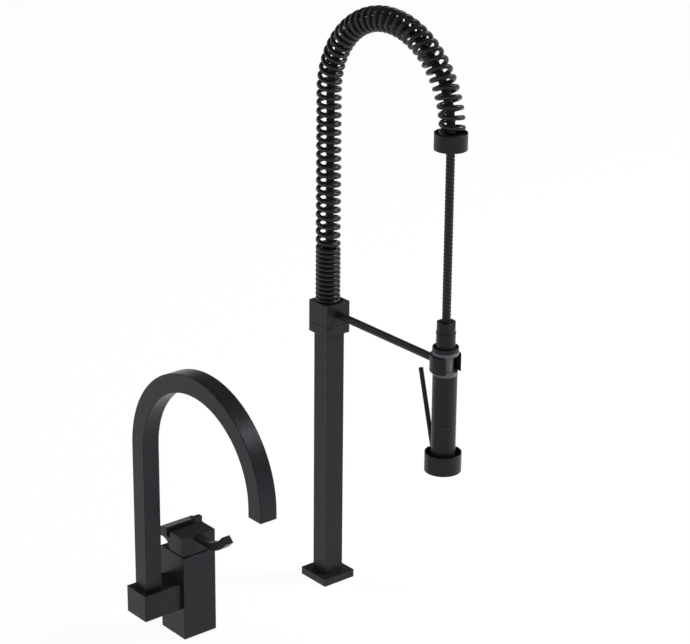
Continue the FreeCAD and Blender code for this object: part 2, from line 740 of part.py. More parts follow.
def spool():
    at = (0.0, -REACH)
    inner = GRIP_R - GRIP_WALL - SNUG
    body = post(inner, (SPOOL_BOTTOM - SPOOL_SPIGOT_H, SPOOL_BOTTOM), at)
    body = body.fuse([
        post(SPOOL_BOTTOM_R, (SPOOL_BOTTOM, SPOOL_BOTTOM + SPOOL_BOTTOM_T), at),
        post(SPOOL_R, (SPOOL_BOTTOM + SPOOL_BOTTOM_T, SPOOL_TOP - SPOOL_TOP_T), at),
        post(SPOOL_TOP_R, (SPOOL_TOP - SPOOL_TOP_T, SPOOL_TOP), at),
        post(SPOOL_NIPPLE_R, (SPOOL_TOP, SPOOL_TOP + SPOOL_NIPPLE_H), at),
    ]).removeSplitter()
    water = post(SPOOL_BORE_R, (SPOOL_BOTTOM - SPOOL_SPIGOT_H, SPOOL_TOP + SPOOL_NIPPLE_H), at)
    return body.cut(water)


# ---- Handset, bottom ----
def grip_tube():
    return pipe(GRIP_R, GRIP_R - GRIP_WALL, (GRIP_BOTTOM, SPOOL_BOTTOM), (0.0, -REACH))


def trigger_slot():
    """Room for the trigger in the valve body's back."""
    return box((-EAR_IN, EAR_IN), (-REACH + SLOT_FLOOR, -REACH + RING_R), (WEB_TOP, WEB_TOP + SLOT_H))


def trigger_ears():
    span = (WEB_TOP, WEB_TOP + EAR_H)
    y_span = (-REACH + SLOT_FLOOR - 2, -REACH + EAR_REACH)
    return [box((side * EAR_IN, side * EAR_OUT)[::side], y_span, span) for side in (1, -1)]


def valve_body():
    at = (0.0, -REACH)
    seam_top = GRIP_BOTTOM
    spigot_r = GRIP_R - GRIP_WALL - SNUG
    seat_y = -REACH + SEAT_AT
    body = post(GRIP_R, (WEB_TOP, seam_top), at)
    body = body.cut(pipe(GRIP_R + 1, GRIP_R - SEAM_DEPTH, (seam_top - SEAM, seam_top), at))
    body = body.fuse(post(spigot_r, (seam_top, seam_top + BODY_SPIGOT_H), at))
    body = body.fuse(post(WEB_HOLE_R - SNUG, (WEB_BOTTOM, WEB_TOP), at))
    body = body.fuse(trigger_ears()).removeSplitter()
    cuts = [
        trigger_slot(),
        post_y(CHAMBER_R, (-REACH - GRIP_R - 1, seat_y), 0, STEM_Z),
        post_y(SEAT_R, (seat_y, seat_y + SEAT_LENGTH), 0, STEM_Z),
        post_y(STEM_R + SNUG, (seat_y, -REACH + SLOT_FLOOR), 0, STEM_Z),
        post(INLET_R, (STEM_Z, seam_top + BODY_SPIGOT_H), (0.0, -REACH - INLET_OFF)),
        post(OUTLET_R, (WEB_BOTTOM, STEM_Z), (0.0, -REACH + OUTLET_OFF)),
        post(FACE_SCREW_R + SNUG, (WEB_BOTTOM, WEB_BOTTOM + FACE_SCREW_DEPTH), at),
        post_x(PIN_R + SNUG / 2, (-EAR_OUT, EAR_OUT), PIVOT_Y, PIVOT_Z),
    ]
    return body.cut(cuts)


def valve_cap():
    outer = -REACH - VALVE_CAP_AT
    return post_y(CHAMBER_R - SNUG, (outer, outer + VALVE_CAP_T), 0, STEM_Z)


def seal_front_y():
    """Face of the poppet that carries the seal."""
    return -REACH + SEAT_AT - SEAT_PLAY - VALVE_SEAL_T


def valve_poppet():
    front = seal_front_y() - POPPET_T
    body = post_y(POPPET_R, (front, seal_front_y()), 0, STEM_Z)
    boss = post_y(POPPET_BOSS_R, (front - POPPET_BOSS_H, front), 0, STEM_Z)
    stem = post_y(STEM_R, (seal_front_y(), -REACH + STEM_TIP), 0, STEM_Z)
    return body.fuse([boss, stem]).removeSplitter()


def valve_seal():
    span = (seal_front_y(), seal_front_y() + VALVE_SEAL_T)
    return post_y(POPPET_R, span, 0, STEM_Z).cut(post_y(STEM_R + SNUG, span, 0, STEM_Z))


def valve_spring():
    """Envelope of the valve's return spring."""
    span = (-REACH - VALVE_CAP_AT + VALVE_CAP_T, seal_front_y() - POPPET_T)
    bore = VALVE_SPRING_R - VALVE_SPRING_WIRE
    return post_y(VALVE_SPRING_R, span, 0, STEM_Z).cut(post_y(bore, span, 0, STEM_Z))


def trigger_lever():
    slope = math.radians(TRIGGER_SLOPE)
    along = V(0, math.sin(slope), math.cos(slope))
    pivot = V(0, PIVOT_Y, PIVOT_Z)
    foot = pivot.sub(V(along).multiply(TRIGGER_DOWN))
    rod = Part.makeCylinder(TRIGGER_R, TRIGGER_DOWN + TRIGGER_UP, foot, along)
    rim = [e for e in rod.Edges if e.BoundBox.ZMin > PIVOT_Z + TRIGGER_UP / 2 and e.Closed]
    rod = rod.makeFillet(EDGE, rim)
    heel = box((-HEEL_HALF, HEEL_HALF), (PIVOT_Y + TRIGGER_R, -REACH + RING_R - HEEL_PLAY),
               (WEB_TOP + NOTCH_UP + HEEL_PLAY, RING_BOTTOM + RING_H - HEEL_PLAY))
    rod = rod.fuse(heel).removeSplitter()
    return rod.cut(post_x(PIN_R + PIVOT, (-EAR_OUT, EAR_OUT), PIVOT_Y, PIVOT_Z))


def trigger_pin():
    return post_x(PIN_R, (-EAR_OUT, EAR_OUT), PIVOT_Y, PIVOT_Z)


def spray_ring():
    at = (0.0, -REACH)
    inner = RING_R - RING_WALL
    wall = pipe(RING_R, inner, (RING_BOTTOM, RING_BOTTOM + RING_H), at)
    web = pipe(inner, WEB_HOLE_R, (WEB_BOTTOM, WEB_TOP), at)
    notch = box((-EAR_IN, EAR_IN), (-REACH + EAR_REACH, -REACH + RING_R + 1),
                (WEB_TOP + NOTCH_UP, RING_BOTTOM + RING_H))
    return wall.fuse(web).removeSplitter().cut(notch)


def nozzle_places():
    return circle_places(NOZZLE_CIRCLES, (0.0, -REACH))[1:]


def spray_face():
    at = (0.0, -REACH)
    body = post(RING_R - RING_WALL - SNUG, (FACE_BOTTOM, FACE_TOP), at)
    body = body.fuse(pipe(RING_R - RING_WALL - SNUG, RING_R - 2 * RING_WALL, (FACE_TOP, WEB_BOTTOM), at))
    holes = [post(NOZZLE_R, (FACE_BOTTOM, FACE_TOP), place) for place in nozzle_places()]
    holes.append(post(FACE_SCREW_R + SNUG, (FACE_BOTTOM, FACE_TOP), at))
    return body.removeSplitter().cut(holes)


def spray_nozzles():
    top = FACE_TOP
    return Part.makeCompound([
        pipe(NOZZLE_R - SNUG / 2, NOZZLE_BORE_R, (top - NOZZLE_H, top), place)
        for place in nozzle_places()
    ])


def face_screw():
    at = (0.0, -REACH)
    head = post(FACE_SCREW_HEAD_R, (RING_BOTTOM, FACE_BOTTOM), at)
    shank = post(FACE_SCREW_R, (FACE_BOTTOM, WEB_BOTTOM + FACE_SCREW_DEPTH), at)
    return head.fuse(shank).removeSplitter()


# ---- Mixer body ----
def mixer_inlet_places():
    return [(MIXER_X + side * INLET_X, INLET_Y) for side in (-1, 1)]


def mixer_body():
    body = square(MIXER_SIDE, (0, MIXER_H), (MIXER_X, 0.0), EDGE)
    cuts = [
        gasket_ring(MIXER_SIDE, (MIXER_X, 0.0), SNUG),
        post(CARTRIDGE_BORE_R, (CARTRIDGE_FLOOR, MIXER_H), (MIXER_X, 0.0)),
        post(STUD_THREAD_R, (0, STUD_THREAD_LENGTH), (MIXER_X, STUD_Y)),
        post(PASSAGE_R, (OUTLET_Z, CARTRIDGE_FLOOR), (MIXER_X, OUTLET_Y)),
        post_y(PASSAGE_R, (0, OUTLET_Y), MIXER_X, OUTLET_Z),
        post_x(PASSAGE_R, (MIXER_X - MIXER_SIDE / 2, MIXER_X), 0, OUTLET_Z),
        post_x(LINK_R + SNUG, (MIXER_X - MIXER_SIDE / 2, MIXER_X - MIXER_SIDE / 2 + LINK_GRIP), 0, OUTLET_Z),
    ]
    for place in mixer_inlet_places():
        cuts.append(post(INLET_THREAD_R, (0, INLET_THREAD_LENGTH), place))
        cuts.append(post(PASSAGE_R, (INLET_THREAD_LENGTH, CARTRIDGE_FLOOR), place))
    return body.cut(cuts)


def outlet_link():
    seam = MIXER_X - MIXER_SIDE / 2
    span = (seam - LINK_GRIP, seam + LINK_GRIP)
    return post_x(LINK_R, span, 0, OUTLET_Z).cut(post_x(PASSAGE_R, span, 0, OUTLET_Z))


def outlet_block():
    right = MIXER_X - MIXER_SIDE / 2
    left = right - OUTLET_BLOCK_X
    half = OUTLET_BLOCK_Y / 2
    at = (SPOUT_AXIS_X, 0.0)
    body = box((left, right), (-half, half), (OUTLET_BLOCK_Z, OUTLET_BLOCK_TOP))
    body = round_upright_edges(body, EDGE)
    cuts = [
        post(SPOUT_BORE_R, (SPOUT_BORE_FLOOR, OUTLET_BLOCK_TOP), at),
        post(SPOUT_BUSH_R, (OUTLET_BLOCK_TOP - SPOUT_BUSH_H, OUTLET_BLOCK_TOP), at),
        post_x(PASSAGE_R, (SPOUT_AXIS_X, right), 0, OUTLET_Z),
        post_x(LINK_R + SNUG, (right - LINK_GRIP, right), 0, OUTLET_Z),
        post_y(SET_SCREW_R + SNUG, (0, half), SPOUT_AXIS_X, LOCK_SCREW_Z),
    ]
    return body.cut(cuts)


# ---- Spout ----
def spout_bush():
    span = (OUTLET_BLOCK_TOP - SPOUT_BUSH_H, OUTLET_BLOCK_TOP)
    return pipe(SPOUT_BUSH_R - SNUG, FOOT_SPIGOT_R + JOURNAL, span, (SPOUT_AXIS_X, 0.0))


def spout_lock_screw():
    tip_end = SPOUT_BORE_R + MOVE
    tip = post_y(LOCK_TIP_R, (LOCK_TIP, tip_end), SPOUT_AXIS_X, LOCK_SCREW_Z)
    body = post_y(SET_SCREW_R, (tip_end, OUTLET_BLOCK_Y / 2 - SEAM), SPOUT_AXIS_X, LOCK_SCREW_Z)
    return body.fuse(tip).removeSplitter()


def spout_foot():
    at = (SPOUT_AXIS_X, 0.0)
    spigot_bottom = SPOUT_BOTTOM - FOOT_SPIGOT_H
    side = SPOUT_SIDE - 2 * SPOUT_WALL - 2 * SNUG
    body = square(side, (SPOUT_BOTTOM, SPOUT_BOTTOM + FOOT_H), at)
    body = body.fuse(post(FOOT_SPIGOT_R, (spigot_bottom, SPOUT_BOTTOM), at)).removeSplitter()
    lock_half = LOCK_TIP_R + MOVE
    groove_half = FOOT_PORT_R + FOOT_PORT_LAND
    cuts = [
        post(FOOT_WATER_R, (OUTLET_Z - groove_half, SPOUT_BOTTOM + FOOT_H), at),
        pipe(FOOT_SPIGOT_R + 1, FOOT_GROOVE_R, (OUTLET_Z - groove_half, OUTLET_Z + groove_half), at),
        post_x(FOOT_PORT_R, (SPOUT_AXIS_X - FOOT_SPIGOT_R, SPOUT_AXIS_X + FOOT_SPIGOT_R), 0, OUTLET_Z),
        post_y(FOOT_PORT_R, (-FOOT_SPIGOT_R, FOOT_SPIGOT_R), SPOUT_AXIS_X, OUTLET_Z),
        pipe(FOOT_SPIGOT_R + 1, LOCK_TIP - MOVE, (LOCK_SCREW_Z - lock_half, LOCK_SCREW_Z + lock_half), at),
    ]
    cuts += [seal_groove(FOOT_SPIGOT_R, SEAL_R, z, at) for z in SPOUT_SEAL_LEVELS]
    return body.cut(cuts)


def spout_o_rings():
    at = (SPOUT_AXIS_X, 0.0)
    return Part.makeCompound([seal_ring(FOOT_SPIGOT_R, SEAL_R, z, at) for z in SPOUT_SEAL_LEVELS])


def spout_tube():
    outer = square(SPOUT_SIDE, (SPOUT_BOTTOM, SPOUT_LEG_TOP), (SPOUT_AXIS_X, 0.0), SPOUT_EDGE)
    inner = square(SPOUT_SIDE - 2 * SPOUT_WALL, (SPOUT_BOTTOM, SPOUT_LEG_TOP), (SPOUT_AXIS_X, 0.0))
    solids = []
    for leg in (outer, inner):
        section = [f for f in leg.Faces if f.normalAt(0, 0).z < -0.999][0]
        solids.append(arch_sweep(section, SPOUT_BOTTOM, SPOUT_LEG_TOP, -SPOUT_ARCH_R,
                                 SPOUT_LEG_TOP - SPOUT_NOSE))
    return solids[0].cut(solids[1])


def aerator():
    at = (SPOUT_AXIS_X, -2 * SPOUT_ARCH_R)
    bottom = SPOUT_LEG_TOP - SPOUT_NOSE + AERATOR_INSET
    side = SPOUT_SIDE - 2 * SPOUT_WALL - 2 * SNUG
    body = square(side, (bottom, bottom + AERATOR_H), at)
    holes = [post(AERATOR_HOLE_R, (bottom, bottom + AERATOR_H), p) for p in circle_places(AERATOR_CIRCLES, at)]
    return body.cut(holes)


# ---- Cartridge ----
def port_places():
    return mixer_inlet_places() + [(MIXER_X, OUTLET_Y)]


def port_holes(z_span):
    return [post(PORT_R, z_span, place) for place in port_places()]


def cartridge_housing():
    at = (MIXER_X, 0.0)
    body = post(HOUSING_R, (HOUSING_BOTTOM, COVER_Z), at)
    bore = post(HOUSING_BORE_R, (DISC_Z, COVER_Z), at)
    return body.cut([bore] + port_holes((HOUSING_BOTTOM, DISC_Z)))


def fixed_disc():
    span = (DISC_Z, DISC_Z + DISC_T)
    return post(DISC_R, span, (MIXER_X, 0.0)).cut(port_holes(span))


def moving_disc():
    at = (MIXER_X, 0.0)
    top = DRIVER_Z
    body = post(MOVING_DISC_R, (MOVING_DISC_Z, top), at)
    return body.cut(post(MOVING_DISC_R / 2, (MOVING_DISC_Z, MOVING_DISC_Z + MOVING_DISC_T / 2), at))


def disc_driver():
    """Block on the moving disc that takes the spindle's ball."""
    at = (MIXER_X, 0.0)
    top = DRIVER_Z + DRIVER_H
    floor = TILT_Z - BALL_DROP - BALL_R - MOVE
    half = BALL_R + MOVE
    pocket = box((MIXER_X - half, MIXER_X + half), (-half, half), (floor, top))
    return post(MOVING_DISC_R, (DRIVER_Z, top), at).cut(pocket)


def cartridge_cover():
    at = (MIXER_X, 0.0)
    body = post(HOUSING_R, (COVER_Z, NECK_Z), at).fuse(post(NECK_R, (NECK_Z, NECK_Z + NECK_H), at))
    recess = post(HOUSING_BORE_R, (COVER_Z, COVER_Z + COVER_RECESS_H), at)
    neck_bore = post(ROTOR_R + MOVE, (COVER_Z, NECK_Z + NECK_H), at)
    return body.removeSplitter().cut([recess, neck_bore])


def cartridge_nut():
    span = (NECK_Z, NECK_Z + CARTRIDGE_NUT_H)
    return pipe(CARTRIDGE_NUT_R, NECK_R + SNUG, span, (MIXER_X, 0.0))


def cartridge_rotor():
    """Fork that turns with the lever and carries its tilt pin."""
    at = (MIXER_X, 0.0)
    bottom = COVER_Z + MOVE
    body = post(DISC_R, (bottom, bottom + ROTOR_FLANGE_T), at)
    body = body.fuse(post(ROTOR_R, (bottom + ROTOR_FLANGE_T, ROTOR_TOP), at)).removeSplitter()
    half = SPINDLE_R + MOVE
    slot = box((MIXER_X - half, MIXER_X + half), (-ROTOR_SLOT_Y, ROTOR_SLOT_Y), (bottom, ROTOR_TOP))
    pin = post_x(STEM_PIN_R + SNUG, (MIXER_X - ROTOR_R, MIXER_X + ROTOR_R), 0, TILT_Z)
    return body.cut([slot, pin])


def tilt_pin():
    half = ROTOR_R - MOVE
    return post_x(STEM_PIN_R, (MIXER_X - half, MIXER_X + half), 0, TILT_Z)


def spindle_top():
    return CAP_TOP - CAP_SCREW_DROP + CAP_SCREW_R


def cartridge_spindle():
    at = (MIXER_X, 0.0)
    ball_z = TILT_Z - BALL_DROP
    ball = Part.makeSphere(BALL_R, V(MIXER_X, 0, ball_z))
    shank = post(SHANK_R, (ball_z, TILT_Z - SPINDLE_R), at)
    waist = post(SPINDLE_R, (TILT_Z - SPINDLE_R, SPINDLE_SQUARE_Z), at)
    head = square(SPINDLE_SQUARE, (SPINDLE_SQUARE_Z, spindle_top()), at)
    body = ball.fuse([shank, waist, head]).removeSplitter()
    return body.cut(post_x(STEM_PIN_R + PIVOT, (MIXER_X - ROTOR_R, MIXER_X + ROTOR_R), 0, TILT_Z))


# ---- Cap and lever ----
def cap_outline():
    """Side view of the cap: flat top, groove, and a rib that falls to the back."""
    front = -MIXER_SIDE / 2
    back = MIXER_SIDE / 2
    floor = CAP_TOP - CAP_GROOVE_DEPTH
    return [
        (front, CAP_BOTTOM),
        (back, CAP_BOTTOM),
        (back, CAP_TOP),
        (CAP_GROOVE_BACK, CAP_TOP + CAP_RIB_RISE),
        (CAP_GROOVE_BACK, floor),
        (CAP_GROOVE_FRONT, floor),
        (CAP_GROOVE_FRONT, CAP_TOP),
        (front, CAP_TOP),
    ]


def lever_screw_y():
    return -MIXER_SIDE / 2 + LEVER_TENON / 2


def key_box(grow=0.0):
    right = MIXER_X + MIXER_SIDE / 2
    return box((right - KEY_IN - grow, right + KEY_OUT), (KEY_Y[0] - 1 if grow else KEY_Y[0], KEY_Y[1] + grow),
               (KEY_Z[0] - grow, KEY_Z[1] + 2 * grow))


def cap():
    half = MIXER_SIDE / 2
    body = extrude_outline_x(polyline_edges(cap_outline()), (MIXER_X - half, MIXER_X + half))
    body = round_upright_edges(body, EDGE)
    top = CAP_BOTTOM + CAP_POCKET_H
    screw_z = CAP_TOP - CAP_SCREW_DROP
    tenon_top = CAP_TOP - LEVER_DROP
    tenon = box((MIXER_X - LEVER_ROOT_W / 2 - SNUG, MIXER_X + LEVER_ROOT_W / 2 + SNUG),
                (-half, -half + LEVER_TENON), (tenon_top - LEVER_ROOT_T - SNUG, tenon_top + SNUG))
    cuts = [
        post_x(SCOOP_R, (MIXER_X - half, MIXER_X + half), SCOOP_Y, SCOOP_Z),
        post(CAP_POCKET_R, (CAP_BOTTOM, top), (MIXER_X, 0.0)),
        square(SPINDLE_SQUARE + 2 * SNUG, (top, spindle_top() + SNUG), (MIXER_X, 0.0)),
        post_y(CAP_SCREW_R + SNUG, (0, half), MIXER_X, screw_z),
        tenon,
        post(LEVER_SCREW_R + SNUG, (CAP_BOTTOM, tenon_top - LEVER_ROOT_T / 4), (MIXER_X, lever_screw_y())),
        post(LEVER_SCREW_HEAD_R + SNUG, (CAP_BOTTOM, CAP_BOTTOM + SEAM + LEVER_SCREW_HEAD_H),
             (MIXER_X, lever_screw_y())),
        key_box(SNUG),
    ]
    return body.cut(cuts)


def cap_key():
    return key_box()


def cap_screws():
    """Set screw against the spindle, and the screw that pulls the lever into the cap."""
    half = MIXER_SIDE / 2
    set_screw = post_y(CAP_SCREW_R, (SPINDLE_SQUARE / 2, half - SEAM), MIXER_X, CAP_TOP - CAP_SCREW_DROP)
    at = (MIXER_X, lever_screw_y())
    head_z = CAP_BOTTOM + SEAM
    head = post(LEVER_SCREW_HEAD_R, (head_z, head_z + LEVER_SCREW_HEAD_H), at)
    shank_top = CAP_TOP - LEVER_DROP - LEVER_ROOT_T / 2
    shank = post(LEVER_SCREW_R, (head_z + LEVER_SCREW_HEAD_H, shank_top), at)
    return Part.makeCompound([set_screw, head.fuse(shank).removeSplitter()])


def lever_edge(level, flat, straight):
    """Lower or upper edge of the lever: flat, bend and straight end, as (y, z) points."""
    turn = math.radians(LEVER_BEND)
    front = -MIXER_SIDE / 2
    bend_y = front - flat

    def on_bend(angle):
        return (bend_y - LEVER_BEND_R * math.sin(angle), level + LEVER_BEND_R * (1 - math.cos(angle)))

    last = on_bend(turn)
    tip = (last[0] - straight * math.cos(turn), last[1] + straight * math.sin(turn))
    return [(front + LEVER_TENON, level), (bend_y, level), on_bend(turn / 2), last, tip]


def lever_bar():
    top = CAP_TOP - LEVER_DROP
    below = [V(0, y, z) for y, z in lever_edge(top - LEVER_ROOT_T, LEVER_FLAT_BELOW, LEVER_END_BELOW)]
    above = [V(0, y, z) for y, z in lever_edge(top, LEVER_FLAT_ABOVE, LEVER_END_ABOVE)]
    outline = []
    for edge in (below, above):
        outline.append(Part.makeLine(edge[0], edge[1]))
        outline.append(Part.Arc(edge[1], edge[2], edge[3]).toShape())
        outline.append(Part.makeLine(edge[3], edge[4]))
    outline.append(Part.makeLine(below[4], above[4]))
    outline.append(Part.makeLine(above[0], below[0]))
    wire = Part.Wire(Part.__sortEdges__(outline))
    side_view = Part.Face(wire).extrude(V(LEVER_TIP_W, 0, 0))
    side_view.translate(V(MIXER_X - LEVER_TIP_W / 2, 0, 0))
    bar = side_view.common(lever_plan(below, above))
    thread = post(LEVER_SCREW_R + SNUG, (top - LEVER_ROOT_T, top - LEVER_ROOT_T / 4), (MIXER_X, lever_screw_y()))
    return bar.cut(thread)


def lever_plan(below, above):
    """Plan view of the lever, wider at its tip, as a tall prism."""
    front = -MIXER_SIDE / 2
    tip_y = min(below[4].y, above[4].y)
    root = LEVER_ROOT_W / 2
    tip = LEVER_TIP_W / 2
    right = [(root, front + LEVER_TENON), (root, front), (tip, tip_y)]
    points = right + [(-x, y) for x, y in reversed(right)]
    corners = [V(MIXER_X + x, y, CAP_BOTTOM) for x, y in points]
    outline = Part.makePolygon(corners + corners[:1])
    return Part.Face(outline).extrude(V(0, 0, above[4].z + LEVER_TIP_W - CAP_BOTTOM))


PIECES = (
    deck_gaskets, column_flange, column_base_insert, column_tube, riser_pipe,
    hub_collar, swivel_washer, swivel_o_rings, swivel_clip_ring, swivel_bush, hub_block,
    hose_nipple, hose, spray_spring, spring_cup, cup_grommet,
    arm_rod, arm_set_screws, holder, hose_tail, tail_o_ring, tail_ferrule,
    swivel_sleeve, lock_ring, hose_nut, spool, grip_tube,
    valve_body, valve_cap, valve_poppet, valve_seal, valve_spring,
    trigger_lever, trigger_pin, spray_ring, spray_face, spray_nozzles, face_screw,
    mixer_body, outlet_link, outlet_block, spout_bush, spout_lock_screw,
    spout_foot, spout_o_rings, spout_tube, aerator,
    cartridge_housing, fixed_disc, moving_disc, disc_driver, cartridge_cover,
    cartridge_nut, cartridge_rotor, tilt_pin, cartridge_spindle,
    cap, cap_key, cap_screws, lever_bar,
)


def main():
    os.makedirs("parts", exist_ok=True)
    for piece in PIECES:
        shape = piece()
        name = piece.__name__
        solids = shape.Solids
        good = shape.isValid() and all(s.Volume > 0 for s in solids)
        print(name, len(solids), "solids", round(shape.Volume, 1), "mm3", "ok" if good else "FAULT")
        whole = solids[0] if len(solids) == 1 else Part.makeCompound(solids)
        whole.exportStep("parts/" + name + ".step")


main()
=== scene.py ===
"""A deck-mounted pre rinse faucet set: a spring arm sprayer on its column and a square mixer.

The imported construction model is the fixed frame. This script gives every piece of it a real
finish, winds the support spring as one true wire, runs the ribbed hose through it, and sets the
floor, the lamps and the camera. Lengths are metres in the frame of the model, and names ending
in _mm are millimetres.
"""
import json
import logging
import math
from dataclasses import dataclass, field
from enum import Enum
from typing import Any, ClassVar, Iterable

import bmesh
import bpy
from mathutils import Matrix, Vector


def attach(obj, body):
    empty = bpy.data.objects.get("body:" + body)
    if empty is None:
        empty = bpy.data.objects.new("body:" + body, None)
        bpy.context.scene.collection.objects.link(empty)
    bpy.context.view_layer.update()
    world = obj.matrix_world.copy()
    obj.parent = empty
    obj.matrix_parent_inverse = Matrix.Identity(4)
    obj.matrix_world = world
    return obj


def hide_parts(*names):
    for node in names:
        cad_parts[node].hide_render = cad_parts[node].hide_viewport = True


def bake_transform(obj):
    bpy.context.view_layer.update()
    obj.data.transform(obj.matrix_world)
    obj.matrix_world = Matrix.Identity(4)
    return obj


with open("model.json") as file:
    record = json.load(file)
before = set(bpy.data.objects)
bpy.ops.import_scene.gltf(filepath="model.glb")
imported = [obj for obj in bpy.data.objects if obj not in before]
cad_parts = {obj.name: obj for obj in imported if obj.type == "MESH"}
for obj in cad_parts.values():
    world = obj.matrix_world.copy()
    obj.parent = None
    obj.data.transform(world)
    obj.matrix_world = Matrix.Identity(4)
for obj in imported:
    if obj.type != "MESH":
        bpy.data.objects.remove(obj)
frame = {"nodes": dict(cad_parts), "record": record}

LOG = logging.getLogger("pre_rinse_faucet")
MM = 0.001
FULL_TURN = 360
WHITE = (1.0, 1.0, 1.0, 1.0)
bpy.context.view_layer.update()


class Body(str, Enum):
    """The moving bodies that pieces made here ride on."""

    ARM_HUB = "arm_hub"
    HOSE_END = "hose_end"


class Slot(str, Enum):
    """The finishes that the construction record names."""

    COATED_METAL = "black_coated_metal"
    SPRING_WIRE = "black_spring_steel"
    SPOOL = "grey_holder_spool"
    HOSE = "black_hose"
    RUBBER = "black_rubber"
    BRASS = "brass"
    STAINLESS = "stainless_steel"
    PLASTIC = "moulded_plastic"
    CERAMIC = "ceramic"


# ---------------------------------------------------------------- helpers


def to_linear(code: str) -> tuple[float, float, float, float]:
    """Turns an sRGB hex colour into linear light.

    Args:
        code: The colour as "#rrggbb".

    Returns:
        Red, green, blue in linear light, and an alpha of 1.
    """
    # The knee, slope, offset and power of the sRGB standard.
    knee, slope, offset, power = 0.04045, 12.92, 0.055, 2.4
    parts = [int(code[i : i + 2], 16) / 255 for i in (1, 3, 5)]
    r, g, b = (p / slope if p <= knee else ((p + offset) / (1 + offset)) ** power for p in parts)
    return (r, g, b, 1.0)


def grains(size_mm: float) -> float:
    """Gives the texture scale, on metre coordinates, at which one grain is size_mm wide."""
    return 1.0 / (size_mm * MM)


def add_node(
    tree: bpy.types.NodeTree,
    kind: str,
    settings: dict[str, Any] | None = None,
    inputs: dict[str | int, Any] | None = None,
) -> bpy.types.Node:
    """Adds one node with its settings, its socket values and its links.

    Args:
        tree: The node tree that gets the node.
        kind: The node's type name.
        settings: Attributes of the node, such as its operation.
        inputs: Socket name or number to a plain value, or to the output socket that feeds it.

    Returns:
        The new node.
    """
    node = tree.nodes.new(kind)
    for key, value in (settings or {}).items():
        setattr(node, key, value)
    for key, value in (inputs or {}).items():
        if isinstance(value, bpy.types.NodeSocket):
            tree.links.new(value, node.inputs[key])
        else:
            node.inputs[key].default_value = value
    return node


def link_object(name: str, data: bpy.types.ID) -> bpy.types.Object:
    """Makes an object at the origin and puts it in the scene.

    Args:
        name: The object's name.
        data: The mesh, curve, light or camera that it shows.

    Returns:
        The new object.
    """
    made = bpy.data.objects.new(name, data)
    bpy.context.scene.collection.objects.link(made)
    return made


def plain_mesh(source: bpy.types.Object) -> bpy.types.Mesh:
    """Takes a plain mesh of the object as it is evaluated now.

    Args:
        source: An object with modifiers, or a curve.

    Returns:
        The new mesh.
    """
    graph = bpy.context.evaluated_depsgraph_get()
    graph.update()
    return bpy.data.meshes.new_from_object(source.evaluated_get(graph))


def new_geometry_tree(name: str, sockets: Iterable[tuple[str, str]]) -> bpy.types.NodeTree:
    """Starts a geometry tree with a geometry input and output.

    Args:
        name: The tree's name.
        sockets: Pairs of an input's name and its socket type.

    Returns:
        The tree, with nothing in it but its interface.
    """
    tree = bpy.data.node_groups.new(name, "GeometryNodeTree")
    tree.interface.new_socket("Geometry", in_out="INPUT", socket_type="NodeSocketGeometry")
    for label, kind in sockets:
        tree.interface.new_socket(label, in_out="INPUT", socket_type=kind)
    tree.interface.new_socket("Geometry", in_out="OUTPUT", socket_type="NodeSocketGeometry")
    return tree


def close_tree(
    tree: bpy.types.NodeTree, shape: bpy.types.NodeSocket, material: bpy.types.NodeSocket
) -> None:
    """Ends a geometry tree in Realize Instances and Set Material.

    Args:
        tree: The geometry tree.
        shape: The socket that carries the finished shape.
        material: The socket that carries its material.
    """
    real = add_node(tree, "GeometryNodeRealizeInstances", inputs={"Geometry": shape})
    dressed = add_node(
        tree, "GeometryNodeSetMaterial", inputs={"Geometry": real.outputs[0], "Material": material}
    )
    add_node(tree, "NodeGroupOutput", inputs={"Geometry": dressed.outputs[0]})


def grow(
    name: str, seed: bpy.types.Mesh, tree: bpy.types.NodeTree, values: dict[str, Any]
) -> bpy.types.Object:
    """Runs a geometry tree on a seed mesh and keeps the result as a plain mesh.

    Args:
        name: The piece's name.
        seed: The mesh that the tree starts from.
        tree: The geometry tree.
        values: Input name to value. Each is set by its socket's identifier.

    Returns:
        The piece, at the origin, with no modifier left on it.
    """
    piece = link_object(name, seed)
    modifier = piece.modifiers.new("grow", "NODES")
    modifier.node_group = tree
    for item in tree.interface.items_tree:
        if item.item_type == "SOCKET" and item.in_out == "INPUT" and item.name in values:
            modifier[item.identifier] = values[item.name]
    mesh = plain_mesh(piece)
    piece.modifiers.remove(modifier)
    piece.data = mesh
    bpy.data.meshes.remove(seed)
    face_outwards(mesh)
    LOG.info("%s: %d vertices, %d faces", name, len(mesh.vertices), len(mesh.polygons))
    return piece


def face_outwards(mesh: bpy.types.Mesh) -> None:
    """Turns every face of a closed mesh outwards.

    Args:
        mesh: The mesh, which is changed in place.
    """
    work = bmesh.new()
    work.from_mesh(mesh)
    bmesh.ops.recalc_face_normals(work, faces=work.faces)
    work.to_mesh(mesh)
    work.free()
    mesh.update()


def polyline(name: str, points: list[Vector]) -> bpy.types.Mesh:
    """Makes a mesh that is one open line through the points.

    Args:
        name: The mesh's name.
        points: The line's points, in order.

    Returns:
        The mesh, with edges and no faces.
    """
    edges = [(i, i + 1) for i in range(len(points) - 1)]
    mesh = bpy.data.meshes.new(name)
    mesh.from_pydata([tuple(p) for p in points], edges, [])
    return mesh


# ---------------------------------------------------------------- finishes


